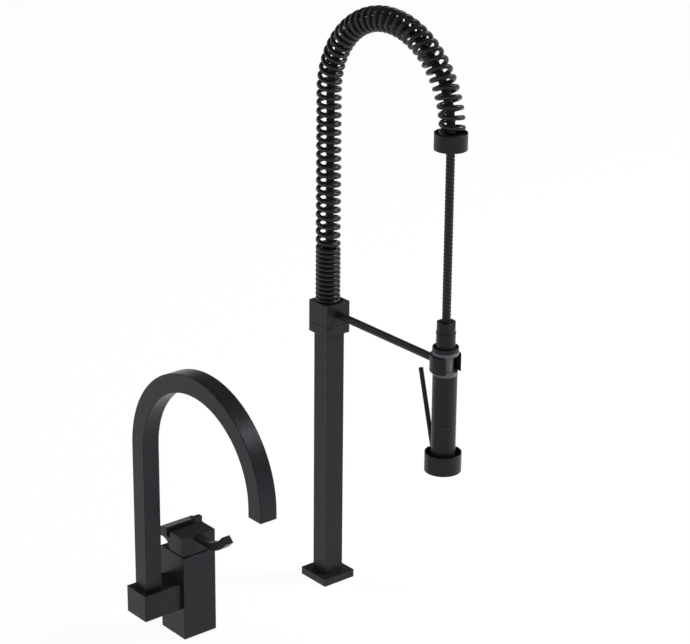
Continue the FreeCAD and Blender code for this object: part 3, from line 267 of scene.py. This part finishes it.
@dataclass(frozen=True)
class Finish:
    """A surface finish: its colours, gloss and the size of its texture.

    The colours are sRGB hex values, roughness holds the least and the most, and tint is the
    colour of the reflection. Each finish below fills these in for one real material.
    """

    octaves: ClassVar[float] = 3.0
    octave_gain: ClassVar[float] = 0.6
    noise_span: ClassVar[tuple[float, float]] = (0.3, 0.7)
    edge_samples: ClassVar[int] = 4

    name: str
    dark: str
    pale: str
    roughness: tuple[float, float]
    specular: float = 0.5
    tint: str = "#ffffff"
    metallic: float = 0.0
    ior: float = 1.5
    grain_mm: float = 1.0
    relief_mm: float = 0.01
    edge_mm: float = 0.0
    stretch: tuple[float, float, float] = (1.0, 1.0, 1.0)

    def build(self) -> bpy.types.Material:
        """Builds the material.

        Returns:
            A Principled material with its grain in colour, roughness and relief.
        """
        material = bpy.data.materials.new(self.name)
        material.use_nodes = True
        tree = material.node_tree
        tree.nodes.clear()
        grain = self.grain(tree)
        # Sockets of a mix of two colours: its share, the colours themselves, and the result.
        share, first, second, mixed = 0, 6, 7, 2
        colour = add_node(
            tree,
            "ShaderNodeMix",
            {"data_type": "RGBA"},
            {share: grain, first: to_linear(self.dark), second: to_linear(self.pale)},
        )
        smoothest, roughest = self.roughness
        gloss = add_node(
            tree,
            "ShaderNodeMapRange",
            inputs={"Value": grain, "To Min": smoothest, "To Max": roughest},
        )
        relief = {"Strength": 1.0, "Distance": self.relief_mm * MM, "Height": grain}
        if self.edge_mm:
            edge = add_node(
                tree,
                "ShaderNodeBevel",
                {"samples": self.edge_samples},
                {"Radius": self.edge_mm * MM},
            )
            relief["Normal"] = edge.outputs[0]
        bump = add_node(tree, "ShaderNodeBump", inputs=relief)
        shader = add_node(
            tree,
            "ShaderNodeBsdfPrincipled",
            inputs={
                "Base Color": colour.outputs[mixed],
                "Roughness": gloss.outputs[0],
                "Metallic": self.metallic,
                "Specular IOR Level": self.specular,
                "Specular Tint": to_linear(self.tint),
                "Normal": bump.outputs[0],
            },
        )
        if not self.metallic:
            shader.inputs["IOR"].default_value = self.ior
        add_node(tree, "ShaderNodeOutputMaterial", inputs={"Surface": shader.outputs[0]})
        return material

    def grain(self, tree: bpy.types.NodeTree) -> bpy.types.NodeSocket:
        """Adds the grain: noise at the finish's own size, drawn out by the stretch.

        Args:
            tree: The material's node tree.

        Returns:
            The socket that carries the grain, from 0 to 1.
        """
        place = add_node(tree, "ShaderNodeTexCoord")
        laid = add_node(
            tree,
            "ShaderNodeMapping",
            inputs={"Vector": place.outputs["Object"], "Scale": self.stretch},
        )
        noise = add_node(
            tree,
            "ShaderNodeTexNoise",
            inputs={
                "Vector": laid.outputs[0],
                "Scale": grains(self.grain_mm),
                "Detail": self.octaves,
                "Roughness": self.octave_gain,
            },
        )
        low, high = self.noise_span
        spread = add_node(
            tree,
            "ShaderNodeMapRange",
            inputs={"Value": noise.outputs[0], "From Min": low, "From Max": high},
        )
        return spread.outputs[0]


# The coats and the hose's cover reflect a faintly cool light.
COOL = "#f2f5ff"

# Each grain below is finer on the real surface: 0.4 mm for the powder's peel, and 0.2 mm or less
# for the bloom, lathe and mould marks of the others. All are too fine to show, so they are drawn
# at about a millimetre, at the sizes given.

# Powder coat on brass castings: resin melted on in an oven. It leaves a fine orange peel that
# scatters the light, so the faces are near black and satin, with no sharp reflection, and the
# specular level is low for that.
POWDER_COAT = Finish(
    "powder_coated_metal",
    "#26262a",
    "#303034",
    (0.25, 0.40),
    specular=0.20,
    tint=COOL,
    grain_mm=1.4,
    relief_mm=0.060,
    edge_mm=0.7,
)
# Spring steel wire with an electro-dipped black coat: smoother than powder, so each turn carries a
# soft line of light along it.
SPRING_WIRE = Finish(
    "coated_spring_wire",
    "#202023",
    "#2a2a2d",
    (0.26, 0.38),
    specular=0.34,
    tint=COOL,
    grain_mm=1.2,
    relief_mm=0.010,
)
# The handset's locating spool: the same casting under a paler satin lacquer.
SPOOL_GREY = Finish(
    "satin_grey_lacquer",
    "#6e6f74",
    "#808187",
    (0.36, 0.48),
    tint=COOL,
    grain_mm=1.3,
    relief_mm=0.015,
    edge_mm=0.5,
)
# Extruded PVC cover over a braided hose: dull with a slight bloom on the ribs.
HOSE_COVER = Finish(
    "ribbed_hose_cover",
    "#1f2022",
    "#292a2c",
    (0.36, 0.50),
    specular=0.26,
    tint=COOL,
    ior=1.53,
    grain_mm=0.9,
    relief_mm=0.02,
)
# Moulded nitrile rubber: soot filled, so deep black and dull.
RUBBER = Finish(
    "moulded_rubber",
    "#171718",
    "#212122",
    (0.62, 0.80),
    specular=0.35,
    ior=1.52,
    grain_mm=1.0,
    relief_mm=0.02,
)
# Free-cutting brass as it leaves the lathe: bright with fine rings that draw the light out.
BRASS = Finish(
    "machined_brass",
    "#b08d45",
    "#c9a861",
    (0.20, 0.34),
    metallic=1.0,
    grain_mm=1.2,
    relief_mm=0.006,
    stretch=(0.25, 0.25, 3.0),
)
# Stainless steel, turned or drawn: cooler and duller than brass.
STAINLESS = Finish(
    "stainless_steel",
    "#8e9093",
    "#a9abad",
    (0.22, 0.38),
    metallic=1.0,
    grain_mm=1.2,
    relief_mm=0.006,
    stretch=(0.3, 0.3, 3.0),
)
# Moulded acetal: waxy, with the faint spark-eroded texture of its mould.
ACETAL = Finish(
    "moulded_acetal",
    "#343536",
    "#424344",
    (0.40, 0.52),
    specular=0.45,
    ior=1.48,
    grain_mm=0.8,
    relief_mm=0.015,
)
# Alumina discs lapped flat: white, close grained and nearly mirror smooth.
CERAMIC = Finish(
    "lapped_ceramic",
    "#dedbd3",
    "#ebe9e2",
    (0.10, 0.20),
    ior=1.76,
    grain_mm=0.7,
    relief_mm=0.003,
)


@dataclass
class FinishShelf:
    """Every finish, built once, under the slot that the record gives it."""

    recipes: dict[Slot, Finish]
    built: dict[Slot, bpy.types.Material] = field(default_factory=dict)
    slot_of: dict[str, Slot] = field(default_factory=dict)

    def stock(self, record: dict[str, Any]) -> None:
        """Builds each material and reads which node takes which.

        Args:
            record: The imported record.
        """
        self.built = {slot: recipe.build() for slot, recipe in self.recipes.items()}
        self.slot_of = {
            part["node"]: Slot(part["material_slot"]) for part in record["subparts"]
        }

    def dress(self, node: str) -> None:
        """Gives one node of the frame its finish.

        Args:
            node: The node's name.
        """
        slot = self.slot_of[node]
        for holder in frame["nodes"][node].material_slots:
            holder.material = self.built[slot]
        LOG.info("%s: %s", node, self.recipes[slot].name)


SHELF = FinishShelf(
    {
        Slot.COATED_METAL: POWDER_COAT,
        Slot.SPRING_WIRE: SPRING_WIRE,
        Slot.SPOOL: SPOOL_GREY,
        Slot.HOSE: HOSE_COVER,
        Slot.RUBBER: RUBBER,
        Slot.BRASS: BRASS,
        Slot.STAINLESS: STAINLESS,
        Slot.PLASTIC: ACETAL,
        Slot.CERAMIC: CERAMIC,
    }
)


# ---------------------------------------------------------------- sub-assemblies


@dataclass
class SubAssembly:
    """A group of pieces that are fitted together, and the frame nodes in it."""

    title: ClassVar[str] = "sub-assembly"
    nodes: ClassVar[tuple[str, ...]] = ()

    def make(self) -> None:
        """Builds the meshes that the frame's nodes can't show. Most groups need none."""

    def dress(self) -> None:
        """Gives every node of the group its finish."""
        for node in self.nodes:
            SHELF.dress(node)

    def finish(self) -> None:
        """Makes and dresses the group, and reports it."""
        LOG.info("-- %s", self.title)
        self.make()
        self.dress()


@dataclass
class SprayColumn(SubAssembly):
    """The square-flanged column and the riser inside it."""

    title: ClassVar[str] = "spray column"
    nodes: ClassVar[tuple[str, ...]] = (
        "deck_gaskets",
        "column_flange",
        "column_base_insert",
        "column_tube",
        "riser_pipe",
    )


@dataclass
class HubSwivel(SubAssembly):
    """The swivel at the column's top: collar, bush, seals and the hub block that turns on it."""

    title: ClassVar[str] = "hub swivel"
    nodes: ClassVar[tuple[str, ...]] = (
        "hub_collar",
        "swivel_washer",
        "swivel_o_rings",
        "swivel_clip_ring",
        "swivel_bush",
        "hub_block",
        "hose_nipple",
    )


@dataclass
class HolderArm(SubAssembly):
    """The round arm from the hub and the fork that the handset hangs in."""

    title: ClassVar[str] = "holder arm"
    nodes: ClassVar[tuple[str, ...]] = ("arm_rod", "arm_set_screws", "holder")


@dataclass
class SpringWinding:
    """The support spring, in metres and degrees: one left-handed wire, close wound, then open.

    The two angles are the wire's angle at a known height, close_angle at close_angle_z in the
    close-wound part and again at open_angle_z in the open part.
    """

    wire: float = 0.0060
    mean_radius: float = 0.0133
    leg_x: float = -0.0017
    leg_y: float = 0.0010
    arch_radius: float = 0.11405
    foot_z: float = 0.3952
    spring_line_z: float = 0.6770
    tip_z: float = 0.6622
    close_until_z: float = 0.4706
    open_from_z: float = 0.4806
    close_pitch: float = 0.0062545
    open_pitch: float = 0.01139
    arch_pitch: float = 0.0113
    close_angle: float = 141.8
    close_angle_z: float = 0.4018
    open_angle_z: float = 0.60655
    steps_per_turn: int = 30
    sides: int = 12

    @property
    def rise(self) -> float:
        """Length of the upright leg."""
        return self.spring_line_z - self.foot_z

    @property
    def arch(self) -> float:
        """Length of the half circle."""
        return math.pi * self.arch_radius

    @property
    def length(self) -> float:
        """Length of the whole centre line."""
        return self.rise + self.arch + self.spring_line_z - self.tip_z

    def centre(self, along: float) -> tuple[Vector, Vector]:
        """Finds the centre line and its outward direction.

        Args:
            along: Distance from the foot.

        Returns:
            The point on the centre line, and the unit vector away from the arch's middle.
        """
        if along <= self.rise:
            return Vector((self.leg_x, self.leg_y, self.foot_z + along)), Vector((0, 1, 0))
        middle = Vector((0, self.leg_y - self.arch_radius, self.spring_line_z))
        turned = (along - self.rise) / self.arch_radius
        if turned <= math.pi:
            outward = Vector((0, math.cos(turned), math.sin(turned)))
            aside = Vector((self.leg_x * (1 - turned / math.pi), 0, 0))
            return middle + self.arch_radius * outward + aside, outward
        down = along - self.rise - self.arch
        return middle + Vector((0, -self.arch_radius, -down)), Vector((0, -1, 0))

    def pitch(self, along: float) -> float:
        """Gives the open pitch, which is a little shorter over the arch than on the upright leg.

        Args:
            along: Distance from the foot, past the close-wound part.

        Returns:
            The distance from one turn to the next there.
        """
        return self.open_pitch if along < self.rise else self.arch_pitch

    def angle(self, along: float) -> float:
        """Gives the wire's angle about the upright leg, from +X towards outward.

        Args:
            along: Distance from the foot.

        Returns:
            The angle in radians, which falls as the wire climbs.
        """
        z = self.foot_z + along
        closed_rise = min(z, self.close_until_z) - self.close_angle_z
        closed = self.close_angle - FULL_TURN * closed_rise / self.close_pitch
        if z <= self.close_until_z:
            return math.radians(closed)
        open_rise = max(z, self.open_from_z) - self.open_angle_z
        opened = self.close_angle - FULL_TURN * open_rise / self.open_pitch
        join = self.open_from_z - self.close_until_z
        mean_pitch = (self.close_pitch + self.open_pitch) / 2
        expected = closed - FULL_TURN * join / mean_pitch
        join_rise = self.open_from_z - self.open_angle_z
        at_join = self.close_angle - FULL_TURN * join_rise / self.open_pitch
        turns = round((expected - at_join) / FULL_TURN)
        if z >= self.open_from_z:
            return math.radians(opened + FULL_TURN * turns)
        share = (z - self.close_until_z) / join
        return math.radians(closed + (at_join + FULL_TURN * turns - closed) * share)

    def seed(self) -> bpy.types.Mesh:
        """Lays out the centre line with the wire's angle and the outward direction at each point.

        Returns:
            A line mesh that carries the attributes phase and outward.
        """
        points, phases, outwards = [], [], []
        along, phase = 0.0, self.angle(0.0)
        while along < self.length:
            centre, outward = self.centre(along)
            points.append(centre)
            phases.append(phase)
            outwards.append(outward)
            upright = along < self.rise
            closed = self.foot_z + along < self.close_until_z
            step = (self.close_pitch if closed else self.pitch(along)) / self.steps_per_turn
            along += step
            if upright and along < self.rise:
                phase = self.angle(along)
            else:
                phase -= 2 * math.pi * step / self.pitch(along)
        flat = [value for outward in outwards for value in outward]
        mesh = polyline("spring_line", points)
        mesh.attributes.new("phase", "FLOAT", "POINT").data.foreach_set("value", phases)
        mesh.attributes.new("outward", "FLOAT_VECTOR", "POINT").data.foreach_set("vector", flat)
        return mesh

    @staticmethod
    def tree() -> bpy.types.NodeTree:
        """Builds the tree that winds a wire round a centre line.

        Returns:
            The geometry tree, with Mean Radius, Wire Radius, Sides and Material as inputs.
        """
        tree = new_geometry_tree(
            "wind_wire",
            (
                ("Mean Radius", "NodeSocketFloat"),
                ("Wire Radius", "NodeSocketFloat"),
                ("Sides", "NodeSocketInt"),
                ("Material", "NodeSocketMaterial"),
            ),
        )
        given = add_node(tree, "NodeGroupInput").outputs
        attribute = "GeometryNodeInputNamedAttribute"
        phase = add_node(tree, attribute, {"data_type": "FLOAT"}, {"Name": "phase"})
        outward = add_node(tree, attribute, {"data_type": "FLOAT_VECTOR"}, {"Name": "outward"})
        cosine = add_node(tree, "ShaderNodeMath", {"operation": "COSINE"}, {0: phase.outputs[0]})
        sine = add_node(tree, "ShaderNodeMath", {"operation": "SINE"}, {0: phase.outputs[0]})
        across = add_node(
            tree,
            "ShaderNodeMath",
            {"operation": "MULTIPLY"},
            {0: cosine.outputs[0], 1: given["Mean Radius"]},
        )
        out = add_node(
            tree,
            "ShaderNodeMath",
            {"operation": "MULTIPLY"},
            {0: sine.outputs[0], 1: given["Mean Radius"]},
        )
        sideways = add_node(tree, "ShaderNodeCombineXYZ", inputs={"X": across.outputs[0]})
        outwards = add_node(
            tree,
            "ShaderNodeVectorMath",
            {"operation": "SCALE"},
            {0: outward.outputs[0], "Scale": out.outputs[0]},
        )
        offset = add_node(
            tree,
            "ShaderNodeVectorMath",
            {"operation": "ADD"},
            {0: sideways.outputs[0], 1: outwards.outputs[0]},
        )
        wound = add_node(
            tree,
            "GeometryNodeSetPosition",
            inputs={"Geometry": given["Geometry"], "Offset": offset.outputs[0]},
        )
        line = add_node(tree, "GeometryNodeMeshToCurve", inputs={"Mesh": wound.outputs[0]})
        section = add_node(
            tree,
            "GeometryNodeCurvePrimitiveCircle",
            inputs={"Resolution": given["Sides"], "Radius": given["Wire Radius"]},
        )
        wire = add_node(
            tree,
            "GeometryNodeCurveToMesh",
            inputs={
                "Curve": line.outputs[0],
                "Profile Curve": section.outputs[0],
                "Fill Caps": True,
            },
        )
        smooth = add_node(
            tree, "GeometryNodeSetShadeSmooth", inputs={"Geometry": wire.outputs[0]}
        )
        close_tree(tree, smooth.outputs[0], given["Material"])
        return tree

    def build(self) -> bpy.types.Object:
        """Winds the spring.

        Returns:
            The spring, as a plain mesh.
        """
        values = {
            "Mean Radius": self.mean_radius,
            "Wire Radius": self.wire / 2,
            "Sides": self.sides,
            "Material": SHELF.built[Slot.SPRING_WIRE],
        }
        return grow("wound_spring", self.seed(), self.tree(), values)


@dataclass
class RibbedHose:
    """The handset's hose: its route, its size and the ribs round its cover, in metres.

    The spline's control points over the arch are (y, z) pairs in the plane of the spring. The
    bend fields, for where the hose would go over from the hub to the handset, are not used.
    """

    diameter: float = 0.0111
    rib_pitch: float = 0.0048
    rib_depth: float = 0.00060
    rings_per_rib: int = 10
    sides: int = 28
    exit_z: float = 0.3950
    arch_points: tuple[tuple[float, float], ...] = (
        (0.0, 0.6470),
        (0.0, 0.7071),
        (-0.0301, 0.7594),
        (-0.0824, 0.7895),
        (-0.1426, 0.7895),
        (-0.1949, 0.7594),
        (-0.2250, 0.7071),
        (-0.2250, 0.6470),
    )
    reach: float = 0.2250
    tail_z: float = 0.4196
    bend_from_z: float = 0.657
    bend_to_z: float = 0.430
    bend_slant: float = 1.2
    curve_steps: int = 24
    curve_order: int = 3

    def route(self) -> list[tuple[float, float, float]]:
        """Lists the control points of the hose's spline.

        Returns:
            The points, up the spring, over the arch and down to the handset.
        """
        return [
            (0.0, 0.0, self.exit_z),
            *((0.0, y, z) for y, z in self.arch_points),
            (0.0, -self.reach, self.tail_z),
        ]

    def line(self) -> list[Vector]:
        """Reads the smooth line that the route's spline gives.

        Returns:
            Points along the hose, from the hub to the handset.
        """
        curve = bpy.data.curves.new("hose_route", "CURVE")
        curve.dimensions = "3D"
        curve.resolution_u = self.curve_steps
        spline = curve.splines.new("NURBS")
        stops = self.route()
        weight = 1.0
        spline.points.add(len(stops) - 1)
        for point, stop in zip(spline.points, stops):
            point.co = (*stop, weight)
        spline.order_u = self.curve_order
        spline.use_endpoint_u = True
        holder = link_object("hose_route", curve)
        mesh = plain_mesh(holder)
        points = [vertex.co.copy() for vertex in mesh.vertices]
        bpy.data.objects.remove(holder)
        bpy.data.curves.remove(curve)
        bpy.data.meshes.remove(mesh)
        return points

    @staticmethod
    def tree() -> bpy.types.NodeTree:
        """Builds the tree that sweeps a tube along a line and winds one left-handed rib round it.

        Returns:
            The tree, with Radius, Rib Depth, Rib Pitch, Rings, Sides and Material as inputs.
        """
        tree = new_geometry_tree(
            "ribbed_tube",
            (
                ("Radius", "NodeSocketFloat"),
                ("Rib Depth", "NodeSocketFloat"),
                ("Rib Pitch", "NodeSocketFloat"),
                ("Rings", "NodeSocketInt"),
                ("Sides", "NodeSocketInt"),
                ("Material", "NodeSocketMaterial"),
            ),
        )
        given = add_node(tree, "NodeGroupInput").outputs
        store, recall = "GeometryNodeStoreNamedAttribute", "GeometryNodeInputNamedAttribute"
        number = {"data_type": "FLOAT"}
        on_points = {"data_type": "FLOAT", "domain": "POINT"}
        line = add_node(tree, "GeometryNodeMeshToCurve", inputs={"Mesh": given["Geometry"]})
        even = add_node(
            tree,
            "GeometryNodeResampleCurve",
            inputs={"Curve": line.outputs[0], "Count": given["Rings"]},
        )
        place = add_node(tree, "GeometryNodeSplineParameter").outputs["Length"]
        tagged = add_node(
            tree, store, on_points, {"Geometry": even.outputs[0], "Name": "along", "Value": place}
        )
        section = add_node(
            tree,
            "GeometryNodeCurvePrimitiveCircle",
            inputs={"Resolution": given["Sides"], "Radius": given["Radius"]},
        )
        ring = add_node(tree, "GeometryNodeSplineParameter").outputs["Factor"]
        marked = add_node(
            tree, store, on_points, {"Geometry": section.outputs[0], "Name": "round", "Value": ring}
        )
        tube = add_node(
            tree,
            "GeometryNodeCurveToMesh",
            inputs={
                "Curve": tagged.outputs[0],
                "Profile Curve": marked.outputs[0],
                "Fill Caps": True,
            },
        )
        along = add_node(tree, recall, number, {"Name": "along"})
        turn = add_node(tree, recall, number, {"Name": "round"})
        ribs = add_node(
            tree,
            "ShaderNodeMath",
            {"operation": "DIVIDE"},
            {0: along.outputs[0], 1: given["Rib Pitch"]},
        )
        wound = add_node(
            tree, "ShaderNodeMath", {"operation": "ADD"}, {0: ribs.outputs[0], 1: turn.outputs[0]}
        )
        # Each rib is one half wave, so half a turn of the sine spans one pitch.
        angle = add_node(
            tree, "ShaderNodeMath", {"operation": "MULTIPLY"}, {0: wound.outputs[0], 1: math.pi}
        )
        wave = add_node(tree, "ShaderNodeMath", {"operation": "SINE"}, {0: angle.outputs[0]})
        crest = add_node(tree, "ShaderNodeMath", {"operation": "ABSOLUTE"}, {0: wave.outputs[0]})
        below = add_node(
            tree, "ShaderNodeMath", {"operation": "SUBTRACT"}, {0: crest.outputs[0], 1: 1.0}
        )
        depth = add_node(
            tree,
            "ShaderNodeMath",
            {"operation": "MULTIPLY"},
            {0: below.outputs[0], 1: given["Rib Depth"]},
        )
        normal = add_node(tree, "GeometryNodeInputNormal")
        inwards = add_node(
            tree,
            "ShaderNodeVectorMath",
            {"operation": "SCALE"},
            {0: normal.outputs[0], "Scale": depth.outputs[0]},
        )
        ribbed = add_node(
            tree,
            "GeometryNodeSetPosition",
            inputs={"Geometry": tube.outputs[0], "Offset": inwards.outputs[0]},
        )
        smooth = add_node(
            tree, "GeometryNodeSetShadeSmooth", inputs={"Geometry": ribbed.outputs[0]}
        )
        close_tree(tree, smooth.outputs[0], given["Material"])
        return tree

    def build(self) -> bpy.types.Object:
        """Returns:
            The hose, as a plain mesh.
        """
        points = self.line()
        length = sum((b - a).length for a, b in zip(points, points[1:]))
        values = {
            "Radius": self.diameter / 2,
            "Rib Depth": self.rib_depth,
            "Rib Pitch": self.rib_pitch,
            "Rings": round(length / self.rib_pitch * self.rings_per_rib),
            "Sides": self.sides,
            "Material": SHELF.built[Slot.HOSE],
        }
        hose = grow("ribbed_hose", polyline("hose_line", points), self.tree(), values)
        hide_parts("hose")
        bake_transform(hose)
        return hose


@dataclass
class SpringArm(SubAssembly):
    """The support spring, the hose inside it, and the cup and grommet at its end."""

    title: ClassVar[str] = "spring arm"
    nodes: ClassVar[tuple[str, ...]] = (
        "spray_spring",
        "spring_cup",
        "cup_grommet",
        "hose",
        "hose_tail",
        "tail_o_ring",
        "tail_ferrule",
    )
    winding: SpringWinding = field(default_factory=SpringWinding)
    hose: RibbedHose = field(default_factory=RibbedHose)

    def make(self) -> None:
        """Winds the spring and runs the hose."""
        self.hose.build()
        spring = self.winding.build()
        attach(spring, Body.ARM_HUB.value)
        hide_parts("spray_spring")


@dataclass
class Handset(SubAssembly):
    """The sprayer: its swivel and spool, the grip with the valve, the trigger and spray ring."""

    title: ClassVar[str] = "handset"
    nodes: ClassVar[tuple[str, ...]] = (
        "swivel_sleeve",
        "lock_ring",
        "hose_nut",
        "spool",
        "grip_tube",
        "valve_body",
        "valve_cap",
        "valve_spring",
        "valve_poppet",
        "valve_seal",
        "trigger_pin",
        "trigger_lever",
        "spray_ring",
        "spray_face",
        "spray_nozzles",
        "face_screw",
    )


@dataclass
class Mixer(SubAssembly):
    """The square mixer body with its cartridge and the block that carries the spout."""

    title: ClassVar[str] = "mixer"
    nodes: ClassVar[tuple[str, ...]] = (
        "mixer_body",
        "outlet_link",
        "outlet_block",
        "cartridge_housing",
        "fixed_disc",
        "cartridge_cover",
        "cartridge_nut",
        "cartridge_rotor",
        "tilt_pin",
        "moving_disc",
        "disc_driver",
        "cartridge_spindle",
    )


@dataclass
class Spout(SubAssembly):
    """The square gooseneck with its swivel foot and aerator."""

    title: ClassVar[str] = "spout"
    nodes: ClassVar[tuple[str, ...]] = (
        "spout_bush",
        "spout_lock_screw",
        "spout_foot",
        "spout_o_rings",
        "spout_tube",
        "aerator",
    )


@dataclass
class CapAndLever(SubAssembly):
    """The cap on the cartridge's spindle and the bar that is moved by hand."""

    title: ClassVar[str] = "cap and lever"
    nodes: ClassVar[tuple[str, ...]] = ("cap", "cap_key", "cap_screws", "lever_bar")


# ---------------------------------------------------------------- stage


@dataclass(frozen=True)
class Lamp:
    """A soft lamp: where it stands, how large it is and its power in watts."""

    name: str
    place: tuple[float, float, float]
    size: float
    power: float
    aim: tuple[float, float, float] = (-0.1, -0.1, 0.35)

    def hang(self) -> None:
        """Hangs the lamp in the scene, facing its aim."""
        light = bpy.data.lights.new(self.name, "AREA")
        light.shape = "SQUARE"
        light.size = self.size
        light.energy = self.power
        beam = Vector(self.aim) - Vector(self.place)
        lamp = link_object(self.name, light)
        lamp.location = self.place
        lamp.rotation_euler = beam.to_track_quat("-Z", "Y").to_euler()


@dataclass
class Studio:
    """The pale floor, the surroundings, the lamps and the camera.

    Turn and tilt are the camera's angles in degrees, and lens and film are millimetres. The
    surroundings fade from the horizon's strength to the zenith's, which they reach where a
    direction's upward part is dim_height.
    """

    turn: float = 38.24
    tilt: float = 21.106
    distance: float = 3.03383
    target: tuple[float, float, float] = (-0.06496, 0.0, 0.41141)
    lens: float = 124.27
    film: float = 36.0
    shift: tuple[float, float] = (0.0799, -0.0297)
    clip: tuple[float, float] = (0.05, 100.0)
    horizon: float = 0.95
    zenith: float = 0.09
    dim_height: float = 0.3
    floor_size: float = 60.0
    floor_colour: str = "#f4f4f4"
    floor_glow: float = 1.06
    floor_share: float = 0.9
    # The right lamp is small and strong, so that curved faces carry a highlight.
    lamps: tuple[Lamp, ...] = (
        Lamp("soft_left", (-3.2, -1.2, 1.9), 1.4, 5.0),
        Lamp("soft_right", (2.5, -1.5, 2.6), 0.7, 76.0),
        Lamp("soft_back", (-1.2, 2.6, 2.1), 1.4, 14.0),
    )

    @staticmethod
    def seen_plainly(tree: bpy.types.NodeTree) -> bpy.types.NodeSocket:
        """Adds the test for rays that show the background.

        Those are the rays from the camera, in gloss and through glass.

        Args:
            tree: The node tree of the world or of the floor.

        Returns:
            The socket that is 1 for such a ray.
        """
        path = add_node(tree, "ShaderNodeLightPath")
        either = add_node(
            tree,
            "ShaderNodeMath",
            {"operation": "MAXIMUM"},
            {0: path.outputs["Is Camera Ray"], 1: path.outputs["Is Glossy Ray"]},
        )
        return add_node(
            tree,
            "ShaderNodeMath",
            {"operation": "MAXIMUM"},
            {0: either.outputs[0], 1: path.outputs["Is Transmission Ray"]},
        ).outputs[0]

    def surround(self) -> None:
        """Makes a soft surrounding: white at the floor's edge and dim overhead."""
        world = bpy.data.worlds.new("studio_room")
        world.use_nodes = True
        tree = world.node_tree
        tree.nodes.clear()
        way = add_node(tree, "ShaderNodeTexCoord")
        height = add_node(tree, "ShaderNodeSeparateXYZ", inputs={0: way.outputs["Generated"]})
        strength = add_node(
            tree,
            "ShaderNodeMapRange",
            {"interpolation_type": "SMOOTHSTEP"},
            {
                "Value": height.outputs["Z"],
                "From Min": 0.0,
                "From Max": self.dim_height,
                "To Min": self.horizon,
                "To Max": self.zenith,
            },
        )
        glow = add_node(
            tree,
            "ShaderNodeBackground",
            inputs={"Color": WHITE, "Strength": strength.outputs[0]},
        )
        add_node(tree, "ShaderNodeOutputWorld", inputs={"Surface": glow.outputs[0]})
        bpy.context.scene.world = world

    def lay_floor(self) -> None:
        """Lays a white floor that keeps a faint shadow."""
        material = bpy.data.materials.new("white_painted_floor")
        material.use_nodes = True
        tree = material.node_tree
        tree.nodes.clear()
        paint = add_node(
            tree, "ShaderNodeBsdfDiffuse", inputs={"Color": to_linear(self.floor_colour)}
        )
        white = add_node(
            tree, "ShaderNodeEmission", inputs={"Color": WHITE, "Strength": self.floor_glow}
        )
        share = add_node(
            tree,
            "ShaderNodeMath",
            {"operation": "MULTIPLY"},
            {0: self.seen_plainly(tree), 1: self.floor_share},
        )
        surface = add_node(
            tree,
            "ShaderNodeMixShader",
            inputs={0: share.outputs[0], 1: paint.outputs[0], 2: white.outputs[0]},
        )
        add_node(tree, "ShaderNodeOutputMaterial", inputs={"Surface": surface.outputs[0]})
        half = self.floor_size / 2
        corners = [(-half, -half, 0), (half, -half, 0), (half, half, 0), (-half, half, 0)]
        mesh = bpy.data.meshes.new("floor")
        mesh.from_pydata(corners, [], [(0, 1, 2, 3)])
        mesh.materials.append(material)
        link_object("floor", mesh)

    def set_camera(self) -> None:
        """Sets the camera at a slightly high three-quarter view."""
        turn, tilt = math.radians(self.turn), math.radians(self.tilt)
        level = math.cos(tilt)
        back = Vector((-math.sin(turn) * level, -math.cos(turn) * level, math.sin(tilt)))
        right = Vector((math.cos(turn), -math.sin(turn), 0.0))
        up = back.cross(right)
        lens = bpy.data.cameras.new("camera")
        lens.lens = self.lens
        lens.sensor_width = self.film
        lens.shift_x, lens.shift_y = self.shift
        lens.clip_start, lens.clip_end = self.clip
        camera = link_object("camera", lens)
        axes = Matrix((right, up, back)).transposed().to_4x4()
        place = Vector(self.target) + back * self.distance
        camera.matrix_world = Matrix.Translation(place) @ axes
        bpy.context.scene.camera = camera

    def build(self) -> None:
        """Sets the whole stage."""
        self.set_camera()
        self.surround()
        self.lay_floor()
        for lamp in self.lamps:
            lamp.hang()
        bpy.context.scene.view_settings.view_transform = "Standard"


def main() -> None:
    """Builds the stage and every sub-assembly, in order."""
    logging.basicConfig(level=logging.INFO, format="%(name)s %(message)s")
    Studio().build()
    SHELF.stock(frame["record"])
    for group in (SprayColumn, HubSwivel, SpringArm, HolderArm, Handset, Mixer, Spout, CapAndLever):
        group().finish()
    placed = {node for group in SubAssembly.__subclasses__() for node in group.nodes}
    missed = sorted(set(SHELF.slot_of) - placed)
    if missed:
        LOG.warning("nodes with no sub-assembly: %s", ", ".join(missed))


if __name__ == "__main__":
    main()
